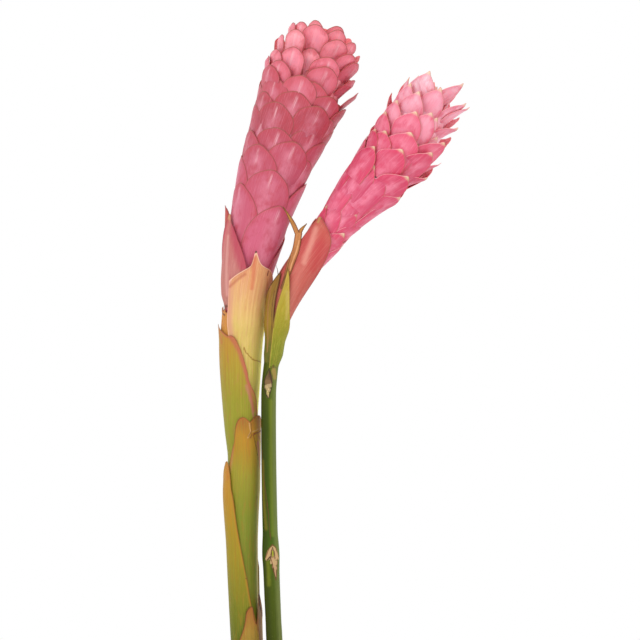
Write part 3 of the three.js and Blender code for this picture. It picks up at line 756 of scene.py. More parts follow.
def add_bract(piece, line, bract):
    """One bract as a closed shell.

    Row i lies down = length u^2 below the tip, u from 1 at the base to 0 at the tip. The surface leans
    outward by slope(down), is curled to the radius max(r, cup w) across, and its outer face is raised by a
    keel 0.45 exp(-(x / 1.7)^2), lowered by a dip of 0.15 at its margin, and bent near its tip by a hook of
    recurve, outward, or inward where that is negative. The tip is drawn out by apex exp(-(down / 1.3)^2) and
    leans aside by skew max(0, 12 - down).
    """
    u = np.linspace(1.0, 0.0, BRACT_ROWS)[:, None]
    v = np.sin(np.linspace(-1.0, 1.0, BRACT_COLUMNS) * np.pi / 2.15)[None, :] / math.sin(np.pi / 2.15)
    share = u * u
    down = bract["length"] * share
    turn = bract["base_slope"] - bract["tip_slope"]
    mean = bract["tip_slope"] + turn * share / 2
    slope = bract["tip_slope"] + turn * share
    width = half_width_at(bract, down)
    x = v * width
    centre, along, right = line.at(bract["s"] - down * np.cos(mean))
    r = np.maximum(1.0, bract["r"] - down * np.sin(mean))
    curl = np.maximum(r, bract["cup"] * bract["half_width"])
    bend = x / curl
    out = outward(right, np.full(right.shape[:-1], bract["degrees"]))
    side = around(right, np.full(right.shape[:-1], bract["degrees"]))
    cos_bend, sin_bend = np.cos(bend)[..., None], np.sin(bend)[..., None]
    cos_slope, sin_slope = np.cos(slope)[..., None], np.sin(slope)[..., None]
    normal = out * cos_bend * cos_slope + side * sin_bend * cos_slope - along * sin_slope
    surface = centre + out * (r - curl * (1 - np.cos(bend)))[..., None]
    surface = surface + side * (curl * np.sin(bend))[..., None]

    outline_down = bract["length"] * np.linspace(1.0, 0.0, 33) ** 2
    outline_x = half_width_at(bract, outline_down)
    outline_x = np.concatenate([-outline_x, outline_x[::-1]])
    outline_y = np.concatenate([outline_down, outline_down[::-1]])
    down_grid = np.broadcast_to(down, x.shape)
    edge = distance_to(x, down_grid, outline_x, outline_y)

    keel = 0.45 * hump(x, 0.0, 1.7) * smooth(down_grid, 0.5, 7.0)
    dip = 0.15 * smooth(edge, 3.0, 0.0)
    hook = bract["recurve"] * smooth(down_grid, 6.0, 0.0)
    raised = surface + normal * (keel - dip + hook)[..., None]
    raised = raised + along * (bract["apex"] * hump(down_grid, 0.0, 1.3))[..., None]
    raised = raised + side * (bract["skew"] * np.maximum(0.0, 12.0 - down_grid))[..., None]
    thickness = lerp(MARGIN, bract["thick"], smooth(edge, 0.0, 2.5))
    piece.add_shell(
        BRACT_TOPOLOGY, raised, raised - normal * thickness[..., None],
        edge=edge, mid=x, down=down_grid, rank=bract["rank"], vary=bract["vary"],
    )


def add_rod(piece, line, radius, start, end, step, sides, **numbers):
    """A round body along a centre line, r = radius(s), closed by a point at each end.

    It keeps s and the angle round it, unless other numbers are given, and an edge that is far away.
    """
    s = np.arange(start, end, step)
    s = np.concatenate([[start], s, [end, end]])[:, None]
    angle = np.linspace(-180, 180, sides, endpoint=False)[None, :]
    r = np.broadcast_to(radius(s), (len(s), sides)).copy()
    r[0] = 0
    r[-1] = 0
    s_grid = np.broadcast_to(s, r.shape)
    points = line.point(s_grid, np.broadcast_to(angle, r.shape), r)
    numbers = numbers or {"s": s_grid, "turn": np.broadcast_to(angle, r.shape)}
    piece.add(ring_topology(len(s), sides), points, **numbers, edge=50.0)


def make_bloom(node, line, stalk, head, seed, material):
    """A head: the stalk, its bracts and the young bracts of its bud."""
    piece = Piece()
    plain = {"mid": 50.0, "down": 60.0, "inside": 0.0, "rank": 0.5, "vary": 0.5}
    add_rod(piece, line, profile(stalk), stalk[0][0], stalk[-1][0], 6.0, 40, **plain)
    bracts = bracts_of(head, np.random.default_rng(seed))
    bracts += young_bracts_of(head, np.random.default_rng(seed + 50))
    for bract in bracts:
        add_bract(piece, line, bract)
    piece.make(node, material)


# Sheaths


def curve_through(points, count, scale):
    """A smooth curve (Catmull-Rom) through points, as count points evenly spaced once scaled."""
    p = np.array(points, float)
    padded = np.concatenate([2 * p[:1] - p[1:2], p, 2 * p[-1:] - p[-2:-1]])
    gaps = np.linalg.norm(np.diff(p, axis=0) * np.array(scale), axis=1)
    where = np.concatenate([[0.0], np.cumsum(gaps)])
    t = np.interp(np.linspace(0, where[-1], count), where, np.arange(len(p)))
    i = np.minimum(t.astype(int), len(p) - 2)
    f = (t - i)[:, None]
    a, b, c, d = padded[i], padded[i + 1], padded[i + 2], padded[i + 3]
    return 0.5 * (2 * b + (c - a) * f + (2 * a - 5 * b + 4 * c - d) * f**2 + (3 * b - a - 3 * c + d) * f**3)


def path_through(places, rows, facing):
    """(points, side, normal) along a smooth path: side = along x facing, normal = side x along, both unit."""
    p = curve_through(places, rows, (1.0, 1.0, 1.0))
    along = np.gradient(p, axis=0)
    along /= np.linalg.norm(along, axis=1)[:, None]
    side = np.cross(along, facing)
    side /= np.linalg.norm(side, axis=1)[:, None]
    return p[:, None, :], side[:, None, :], np.cross(side, along)[:, None, :]


def make_sheath(name, line, spec, material, rows, columns):
    """A sheath: ruled from its bottom arc to its margin, r = radius(s, a), thinned to its margin.

    Its bottom spans the angles of span, or else of the margin, and its lowest 14 mm sink in by sink. The
    margin turns out by curl exp(-edge / 1.5), and shallow ribs, ribs sin(arc 2.4), run along it. Arc is the
    angle (radians) times the mean radius.
    """
    margin = curve_through(spec["margin"], columns, (0.3, 1.0))
    top_degrees, top_s = margin[:, 0][None, :], margin[:, 1][None, :]
    bottom_degrees = np.linspace(*spec["span"], columns)[None, :] if "span" in spec else top_degrees
    t = np.linspace(0.0, 1.0, rows)[:, None]
    s = lerp(spec["bottom"], top_s, t)
    degrees = lerp(bottom_degrees, top_degrees, t)
    r = spec["radius"](s, degrees) - spec.get("sink", 0.0) * smooth(s, spec["bottom"] + 14, spec["bottom"])
    arc = np.radians(degrees) * float(np.mean(r))
    line_x, line_y = (np.concatenate([v[:, 0], v[-1], v[::-1, -1]]) for v in (arc, s))
    edge = distance_to(arc, s, line_x, line_y)
    ribs = spec.get("ribs", 0.12) * np.sin(arc * 2.4) * smooth(edge, 0.5, 4.0)
    curl = spec.get("curl", 0.5) * np.exp(-edge / 1.5)
    outer = line.point(s, degrees, r + ribs + curl)
    thickness = lerp(MARGIN, BLADE, smooth(edge, 0.0, 2.0))
    inner = line.point(s, degrees, r + curl - thickness)
    piece = Piece()
    topology = shell_topology(rows, columns, False)
    piece.add_shell(topology, outer, inner, edge=edge, s=s, arc=arc, turn=degrees)
    for places, thick in spec.get("strands", ()):
        add_strand(piece, places, thick)
    piece.make(name, material)


def add_strand(piece, places, thick):
    """A thin round strand through places (x, y, z), r = thick (1 - t)^0.7 / 2, closed at both ends."""
    rows, sides = 12, 6
    p, side, other = path_through(places, rows, [0.0, -1.0, 0.2])
    angle = np.linspace(0, 2 * np.pi, sides, endpoint=False)[None, :, None]
    r = 0.5 * thick * (1 - np.linspace(0, 1, rows)[:, None, None]) ** 0.7
    r[0] = 0.0
    points = p + r * (side * np.cos(angle) - other * np.sin(angle))
    piece.add(ring_topology(rows, sides), points, edge=0.0, s=0.0, arc=0.0, turn=0.0, inside=0.0)


def layer_a(count):
    """body_a(s) + first layer + count layers."""
    return lambda s, degrees: body_a(s) + FIRST_LAYER + count * LAYER + 0 * degrees


def parted_left(degrees):
    """smooth(-a, 66, 92)."""
    return smooth(-degrees, 66, 92)


def rear_radius(s, degrees):
    """body + first layer + parted (1.4 smooth(s, 20, 45) + 4.5 (max(0, s - 56) / 48)^1.5)."""
    parting = 1.4 * smooth(s, 20, 45) + 4.5 * (np.maximum(0, s - 56) / 48) ** 1.5
    return body_a(s) + FIRST_LAYER + parted_left(degrees) * parting


def cupped_rear_radius(s, degrees):
    """rear radius - 2.4 ((a + 98) / 14)^2, held at 2.4, times smooth(s, 72, 96)."""
    return rear_radius(s, degrees) - 2.4 * np.minimum(1.0, ((degrees + 98) / 14) ** 2) * smooth(s, 72, 96)


def hood_radius(s, degrees):
    """body + first layer + (2.8 - 1.6 smooth(a, 10, 60)) smooth(s, -8, 8)."""
    return body_a(s) + FIRST_LAYER + (2.8 - 1.6 * smooth(degrees, 10, 60)) * smooth(s, -8, 8)


def left_radius(s, degrees):
    """layer 1 + 1.1 exp(-((a + 92) / 25)^2) smooth(s, -12, 4)."""
    return layer_a(1)(s, degrees) + 1.1 * hump(degrees, -92, 25) * smooth(s, -12, 4)


def olive_radius(s, degrees):
    """wrap + first layer + layer smooth(s, -10, 5) + 3 exp(-((a + 95) / 22)^2) smooth(s, 15, 40)."""
    tip = 3 * hump(degrees, -95, 22) * smooth(s, 15, 40)
    return wrap_b(s) + FIRST_LAYER + LAYER * smooth(s, -10, 5) + tip


def yellow_radius(s, degrees):
    """wrap + first layer + layer (1 + smooth(s, -10, 5))."""
    return wrap_b(s) + FIRST_LAYER + LAYER * (1 + smooth(s, -10, 5)) + 0 * degrees


def close_radius(s, degrees):
    """wrap + first layer."""
    return wrap_b(s) + FIRST_LAYER + 0 * degrees


def drawn_in_radius(s, degrees):
    """close radius - 4.2 smooth(a, -150, -105) smooth(s, 45, 95)."""
    return close_radius(s, degrees) - 4.2 * smooth(degrees, -150, -105) * smooth(s, 45, 95)


SHEATHS_A = {
    "sheath_a_hood": {
        "bottom": -143,
        "span": (-26, 175),
        "radius": hood_radius,
        "margin": [
            (-41, 42), (-26, 47.5), (-10, 53), (2, 57.5), (5, 63), (7, 72.5), (12, 69), (18, 64), (24, 61),
            (35, 59), (50, 57.5), (65, 53), (80, 46), (100, 36), (120, 26), (140, 14), (160, 0), (172, -14),
        ],
    },
    "sheath_a_stub": {
        "bottom": -45,
        "radius": layer_a(0),
        "margin": [
            (-140, 9), (-120, 14), (-106, 15), (-98, 17.5), (-93, 15), (-86, 18.5), (-80, 15.5), (-73, 19.5),
            (-68, 15.5), (-60, 17.5), (-52, 14.5), (-42, 15.5), (-30, 12),
        ],
    },
    "sheath_a_left": {
        "bottom": -190,
        "radius": left_radius,
        "margin": [
            (-240, -70), (-220, -50), (-200, -36), (-180, -26), (-160, -18), (-140, -11), (-120, -5),
            (-104, 0), (-92, 4), (-80, 2), (-66, -1), (-52, -3), (-36, -6), (-19, -6), (0, -18), (17, -36),
            (25, -47), (50, -61), (61, -76), (75, -95), (90, -115), (115, -140),
        ],
    },
    "sheath_a_front": {
        "bottom": SHEATH_FOOT,
        "radius": layer_a(2),
        "strands": [
            ([(-4.5, -7.6, 394.6), (-1.5, -5.6, 396.4), (1.6, -2.2, 397.4), (4.6, 2.0, 399.6)], 1.1),
            ([(-7.0, -9.4, 391.6), (-5.4, -9.0, 395.0), (-6.6, -10.6, 398.4)], 0.9),
        ],
        "margin": [
            (-170, -175), (-130, -160), (-90, -142), (-60, -130), (-51, -122), (-40, -110), (-26, -99.5),
            (-17, -85.5), (-6, -79.5), (7, -78), (18, -80), (26.5, -83), (40, -79), (57, -77), (80, -80),
            (110, -95), (140, -118), (165, -140),
        ],
    },
    "sheath_a_lower": {
        "bottom": SHEATH_FOOT,
        "radius": layer_a(3),
        "margin": [
            (-250, -215), (-225, -195), (-200, -178), (-175, -164), (-150, -152), (-125, -142), (-100, -134),
            (-78, -124), (-59, -118), (-39.5, -131), (-32, -143), (-24, -153), (-13.6, -180), (2, -207),
            (13.4, -225), (27, -248), (45, -262), (60, -285), (75, -310), (95, -322),
        ],
    },
    "sheath_a_base": {
        "bottom": SHEATH_FOOT,
        "radius": layer_a(4),
        "margin": [
            (-120, -320), (-90, -310), (-60, -300), (-40, -290), (-22, -279), (-8, -270), (0, -263),
            (8, -252), (28, -248.5), (32, -258), (41, -264.5), (48, -255), (56, -237), (70, -245), (90, -256),
            (120, -270), (150, -290), (180, -310),
        ],
    },
    "bract_a_rear": {
        "bottom": 17,
        "sink": 2.0,
        "radius": cupped_rear_radius,
        "margin": [
            (-150, 20), (-136, 48), (-120, 78), (-109, 99), (-98, 105.5), (-88, 104), (-80, 96), (-72, 76),
            (-62, 38),
        ],
    },
    "bract_a_outer": {
        "bottom": 17,
        "sink": 3.2,
        "radius": lambda s, degrees: rear_radius(s, degrees) + LAYER,
        "margin": [
            (-126, 22), (-112, 40), (-100, 56), (-90, 68), (-80, 86), (-70, 99.5), (-60, 93), (-45, 86),
            (-34, 79), (-20, 70), (-5, 56), (4, 40), (10, 22),
        ],
    },
}

SHEATHS_B = {
    "sheath_b_olive": {
        "bottom": -34,
        "sink": 1.4,
        "radius": olive_radius,
        "strands": [([(17.2, -10, 525), (18.3, -10.5, 534), (17.8, -11, 542), (16.0, -11, 549)], 1.3)],
        "margin": [
            (-170, -10), (-140, 2), (-115, 12), (-97, 20), (-84, 28), (-71, 38), (-62, 45), (-55, 48),
            (-46, 44), (-34, 34), (-15, 10), (8, -14), (20, -28),
        ],
    },
    "sheath_b_yellow": {
        "bottom": -34,
        "sink": 2.7,
        "span": (-14, 160),
        "radius": yellow_radius,
        "margin": [
            (-12, 0), (-13, 20), (-18, 37), (-25, 47), (-32.4, 54.5), (-22, 51), (-11, 46.5), (5, 38),
            (18.6, 30), (35, 20), (60, 8), (90, -5), (120, -14), (150, -22),
        ],
    },
    "bract_b_lower": {
        "bottom": 0,
        "sink": 2.4,
        "span": (-60, 100),
        "radius": close_radius,
        "margin": [
            (-60, 20), (-61, 50), (-60, 80), (-56, 98), (-49, 107), (-25, 105), (-4, 102), (12, 98.5),
            (25, 94), (47, 79.5), (63, 66), (80, 48), (95, 30), (100, 16),
        ],
    },
    "bract_b_rear": {
        "bottom": 20,
        "sink": 2.0,
        "span": (-170, -64),
        "radius": drawn_in_radius,
        "ribs": 0.03,
        "curl": 0.1,
        "margin": [
            (-170, 30), (-155, 68), (-135, 96), (-112, 111), (-92, 115), (-80, 109), (-72, 92), (-66, 60),
            (-64, 24),
        ],
    },
}


# Materials


def bract_material(
    name, heights, midrib_highlight, centre, deep, rims, tip, lining, rim_width, tip_reach, gleam, dry=()
):
    """A waxy bract.

    The colour runs up the head, has a painted highlight along the midrib near the tip, is paler in the lower
    middle, deeper in patches and towards the margin, and has a thin rim of one colour on its left and another
    on its right.
    Fine veins run along it, its tip and its inner side have their own colours, and dry lists where it has dry
    spots (m).
    """
    shader = Shader(name)
    edge, mid, down, rank, vary, inside = (
        shader.number(key) for key in ("edge", "mid", "down", "rank", "vary", "inside")
    )
    side = abs(mid)
    patches = shader.noise(shader.vector(mid * 0.13, down * 0.09, vary * 40.0), 1.0, 3.0)
    veins = shader.noise(shader.vector(mid * 1.5, down * 0.06, vary * 20.0), 1.0, 3.0, 0.65)
    fine = shader.noise(shader.vector(mid * 4.5, down * 0.12, vary * 30.0), 1.0, 2.0)
    middle = side.step(11.0, 2.0) * down.step(4.0, 13.0) * patches.step(0.75, 0.3)
    # Painted highlight: a pale strip on the midrib, a few mm below the tip, as strong as gleam.
    highlight_mask = side.step(2.4, 0.1) * down.step(1.0, 5.0) * down.step(20.0, 9.0)
    corner = (down + side * 0.7 + edge * 1.5 + (veins - 0.5) * 2.0).step(tip_reach, 0.6)
    colour = shader.layers(
        shader.ramp((rank + (vary - 0.5) * 0.1).held(), heights),
        (patches.step(0.48, 0.68) * 0.5, deep),
        (edge.step(5.5, 0.5) * 0.45, deep),
        (middle * 0.65, centre),
        (highlight_mask * veins.step(0.3, 0.7) * (vary.step(0.0, 0.6) * 0.4 + 0.6) * gleam, midrib_highlight),
        (veins.step(0.5, 0.7) * 0.38, centre),
        (fine.step(0.5, 0.7) * 0.34, deep),
        (corner * 0.85, tip),
        (edge.step(rim_width, rim_width * 0.35) * 0.82, shader.mix(mid.step(-1.5, 1.5), *rims)),
        (inside * 0.7, lining),
    )
    for point in dry:
        spot = (shader.near(point, (1.0, 0.1, 1.0), 0.0042) + (fine - 0.5) * 1.6).step(0.4, 0.75)
        colour = shader.mix(spot * 0.9, colour, (110, 76, 42))
    grain = veins * 0.5 + fine * 0.3 + shader.noise(shader.place(), 900.0, 2.0) * 0.2
    relief = shader.bump(grain, 0.0003, 0.4)
    return shader.finish(colour, 0.42 + patches * 0.16, relief, coat=0.06, soft=0.12, specular=0.35)


def leaf_material(
    name, stops, span, rim, rim_width, band, band_width, streaks, lining, rough=0.48, marks=(), scale=0.3
):
    """A sheath or an outer bract.

    Colours run along its length, with fine ribs, strokes, a rim, a band inside the rim, and a lining.
    """
    shader = Shader(name)
    edge, s, arc, inside, turn = (shader.number(key) for key in ("edge", "s", "arc", "inside", "turn"))
    low, high = span
    height = ((s - low) / (high - low)).held()
    cloud = shader.noise(shader.vector(arc * 0.12, s * 0.03, 3.0), 1.0, 3.0)
    fibres = shader.noise(shader.vector(arc * 2.2, s * 0.02, 7.0), 1.0, 3.0, 0.6)
    threads = shader.noise(shader.vector(arc * 6.0, s * 0.012, 9.0), 1.0, 2.0, 0.7)
    mottle = shader.noise(shader.vector(arc * 0.4, s * 0.06, 12.0), 1.0, 4.0, 0.65)
    specks = shader.noise(shader.vector(arc * 1.4, s * 0.35, 1.0), 1.0, 2.0)
    colour = shader.layers(
        shader.ramp((height + (cloud - 0.5) * 0.16).held(), stops),
        (mottle.step(0.5, 0.7) * 0.4, band),
        (mottle.step(0.46, 0.3) * 0.35, streaks),
        (fibres.step(0.45, 0.65) * 0.45, streaks),
        (threads.step(0.48, 0.66) * 0.34, rim),
        (threads.step(0.46, 0.3) * 0.25, streaks),
        (specks.step(0.64, 0.74) * 0.25, rim),
        (edge.step(band_width, band_width * 0.2) * cloud.step(0.25, 0.55) * 0.7, band),
        (edge.step(rim_width, rim_width * 0.4) * 0.8, rim),
    )
    colour = shader.marks(colour, turn, s, scale, marks)
    colour = shader.mix(inside * 0.6, colour, lining)
    relief = shader.bump(fibres + threads * 0.4, 0.0004, 0.5)
    return shader.finish(colour, rough + cloud * 0.14, relief, coat=0.03, soft=0.05, specular=0.22)


def clay_material():
    """Unglazed clay: mottled orange-brown, a pale bloom of lime, stronger low down, and turning rings."""
    shader = Shader("Unglazed clay")
    place = shader.place()
    height = shader.number("height")
    broad = shader.noise(place, 34.0, 6.0, 0.62)
    fine = shader.noise(place, 420.0, 4.0, 0.65)
    grit = shader.noise(place, 1500.0, 2.0)
    rings = shader.noise(shader.vector(0.0, 0.0, height * 0.9), 1.0, 3.0)
    lime = broad.step(0.5, 0.72) * fine.step(0.3, 0.6) * (height.step(70.0, 5.0) * 0.3 + 0.12)
    colour = shader.layers(
        shader.ramp(broad, [(0.3, (150, 78, 52)), (0.5, (178, 98, 66)), (0.72, (196, 122, 88))]),
        (fine.step(0.45, 0.7) * 0.35, (140, 72, 48)),
        (lime, (222, 196, 176)),
        (grit.step(0.66, 0.74) * 0.3, (112, 58, 42)),
    )
    relief = rings * 0.6 + fine * 0.5 + grit * 0.3
    return shader.finish(colour, 0.82 + fine * 0.1, shader.bump(relief, 0.0006, 0.5), specular=0.3)


def soil_material():
    """Bark potting mix: dark crumbs with paler bark and a few light grains."""
    shader = Shader("Potting soil")
    place = shader.place()
    vary = shader.number("vary")
    crumbs = shader.noise(place, 260.0, 5.0, 0.7)
    grains = shader.noise(place, 900.0, 3.0)
    bark = shader.ramp(
        vary, [(0.0, (48, 32, 22)), (0.45, (92, 62, 40)), (0.86, (120, 84, 54)), (0.93, (205, 200, 188))]
    )
    colour = shader.layers(
        shader.ramp(crumbs, [(0.3, (28, 19, 14)), (0.52, (58, 40, 28)), (0.75, (88, 62, 42))]),
        (vary.step(0.001, 0.002) * 0.75, bark),
        (grains.step(0.62, 0.72) * 0.25, (120, 96, 70)),
    )
    return shader.finish(colour, 0.95, shader.bump(crumbs + grains * 0.4, 0.0015, 0.8), specular=0.2)


def stem_material(name, stops, span, shade, highlight_and_flecks, rough, marks=()):
    """A green stem: colour along its length, with painted shade on its left and a painted highlight on its
    right, fine ribs, flecks and strokes.
    """
    shader = Shader(name)
    s, turn = shader.number("s"), shader.number("turn")
    low, high = span
    cloud = shader.noise(shader.scaled(shader.place(), (150.0, 150.0, 20.0)), 1.0, 3.0)
    fibres = shader.noise(shader.scaled(shader.place(), (1800.0, 1800.0, 20.0)), 1.0, 3.0, 0.6)
    flecks = shader.noise(shader.scaled(shader.place(), (1200.0, 1200.0, 500.0)), 1.0, 2.0)
    colour = shader.layers(
        shader.ramp((((s - low) / (high - low)).held() + (cloud - 0.5) * 0.2).held(), stops),
        # Painted shade on the left side and a painted highlight on the right side; the flecks take the
        # highlight colour too.
        (turn.step(6.0, -40.0) * turn.step(-170.0, -120.0) * 0.6, shade),
        (turn.step(10.0, 50.0) * turn.step(150.0, 100.0) * 0.45, highlight_and_flecks),
        (fibres.step(0.45, 0.7) * 0.3, shade),
        (flecks.step(0.66, 0.74) * 0.25, highlight_and_flecks),
    )
    colour = shader.marks(colour, turn, s, 0.125, marks)
    relief = shader.bump(fibres, 0.0003, 0.4)
    return shader.finish(colour, rough + cloud * 0.1, relief, soft=0.02, specular=0.16)


PINK_A = bract_material(
    "Waxy pink bract",
    heights=[
        (0.0, (204, 94, 122)), (0.2, (182, 74, 94)), (0.45, (170, 62, 75)),
        (0.62, (196, 82, 98)), (0.74, (238, 130, 148)), (1.0, (250, 158, 168)),
    ],
    # The colour of the painted highlight on the midrib.
    midrib_highlight=(238, 186, 194),
    centre=(216, 130, 150),
    deep=(184, 62, 76),
    rims=((150, 84, 66), (136, 70, 60)),
    tip=(190, 112, 100),
    lining=(244, 108, 114),
    rim_width=0.75,
    tip_reach=2.2,
    gleam=0.8,
)
PINK_B = bract_material(
    "Bright pink bract",
    heights=[
        (0.0, (204, 72, 98)), (0.3, (210, 74, 108)), (0.52, (204, 62, 96)),
        (0.68, (228, 106, 132)), (0.84, (243, 176, 192)), (1.0, (250, 218, 226)),
    ],
    # The colour of the painted highlight on the midrib.
    midrib_highlight=(248, 182, 198),
    centre=(246, 148, 172),
    deep=(216, 62, 100),
    rims=((246, 178, 178), (170, 116, 88)),
    tip=(226, 214, 170),
    lining=(238, 96, 112),
    rim_width=0.45,
    tip_reach=6.5,
    gleam=0.3,
    dry=[(0.1814, -0.026, 0.6985)],
)
STEM_A_GREEN = stem_material(
    "Inner stem",
    [(0.0, (100, 108, 34)), (0.7, (136, 144, 48)), (1.0, (190, 172, 104))],
    # Then the painted shade colour, the painted highlight colour (also the flecks) and the roughness.
    (-330, 5), (86, 98, 24), (160, 160, 80), 0.5,
)
BROWN = (96, 62, 34)
DARK = (58, 38, 30)
STEM_B_GREEN = stem_material(
    "Slender stem",
    [
        (0.0, (64, 76, 6)), (0.3, (72, 86, 8)), (0.42, (62, 88, 4)),
        (0.7, (58, 74, 4)), (0.86, (80, 94, 10)), (1.0, (126, 128, 26)),
    ],
    # Then the painted shade colour, the painted highlight colour (also the flecks) and the roughness.
    (-330, 5), (46, 54, 0), (136, 146, 80), 0.45,
    marks=[
        ((128, 112, 28), 0.6, 0.8, 2.4, [(-54, -118), (-50, -150), (-32, -178)]),
        # A faint painted highlight down the front of the stem.
        ((150, 160, 50), 0.25, 0.6, 2.6, [(20, -64), (18, -120), (20, -184)]),
        (
            BROWN, 0.9, 0.4, 0.3,
            [(-59, -108), (-54, -125), (-35, -139), (-20, -153), (-7, -166), (-3, -181), (4, -188)],
        ),
        ((160, 132, 70), 0.8, 2.3, 1.0, [(26, -36), (44, -42)]),
        ((120, 96, 54), 0.8, 0.3, 0.2, [(-9, -33.5), (60, -33)]),
        ((110, 84, 54), 0.95, 2.0, 0.7, [(-22, -44), (-2, -41), (10, -46)]),
        ((96, 70, 46), 0.9, 1.0, 0.6, [(-8, -38), (-4, -42)]),
        ((128, 98, 66), 0.9, 2.2, 0.5, [(-20, -47), (6, -47)]),
        ((176, 150, 108), 0.95, 1.7, 0.6, [(-22, -51), (10, -50)]),
        ((176, 150, 108), 0.95, 1.7, 0.6, [(-12, -53), (2, -54)]),
        ((182, 158, 104), 0.95, 1.1, 0.6, [(-8, -56), (-3, -60)]),
        *(
            ((222, 204, 130), 0.9, 0.2, 0.3, [(degrees, s), (degrees + 0.5, s - 0.6)])
            for degrees, s in ((-14, -51), (-3, -53), (-10, -55), (-3, -57))
        ),
        (
            DARK, 0.95, 0.4, 0.35,
            [
                (-42, -47), (-28, -40), (-12, -35), (4, -39), (22, -47), (24, -51), (2, -61), (-6, -61),
                (-36, -54), (-42, -47),
            ],
        ),
        ((60, 40, 30), 0.8, 0.4, 0.4, [(-6, -37), (2, -42), (20, -47)]),
        (
            (196, 160, 112), 0.95, 1.7, 0.5,
            [(-26, -205), (-8, -198.5), (14, -195.5), (36, -198.5), (52, -205)],
        ),
        ((192, 156, 110), 0.95, 2.4, 0.5, [(2, -204), (32, -204)]),
        ((192, 158, 112), 0.95, 2.2, 0.5, [(12, -208), (34, -209)]),
        ((190, 152, 110), 0.95, 1.6, 0.5, [(20, -212), (34, -214)]),
        ((184, 142, 104), 0.95, 0.9, 0.5, [(28, -216), (34, -221)]),
        ((132, 92, 56), 0.8, 1.2, 0.6, [(13, -198), (14, -203)]),
        ((116, 62, 42), 0.85, 0.35, 0.3, [(-36, -204), (-10, -196), (14, -192.5), (40, -196), (62, -204)]),
        (
            (104, 54, 38), 0.85, 0.4, 0.3,
            [(-26, -206), (-4, -204), (6, -208), (16, -215), (33, -224.5), (44, -214), (50, -206)],
        ),
        ((70, 48, 30), 0.9, 0.35, 0.3, [(0, -205), (4, -198.5), (14, -195), (24, -198.5), (28, -205)]),
        ((150, 160, 40), 1.0, 0.5, 0.4, [(14, -198), (14, -202.5)]),
        (DARK, 0.85, 0.5, 0.4, [(-30, -207), (-4, -203)]),
        ((136, 142, 34), 0.45, 0.6, 2.8, [(-22, -208), (-20, -216), (-22, -228)]),
    ],
)
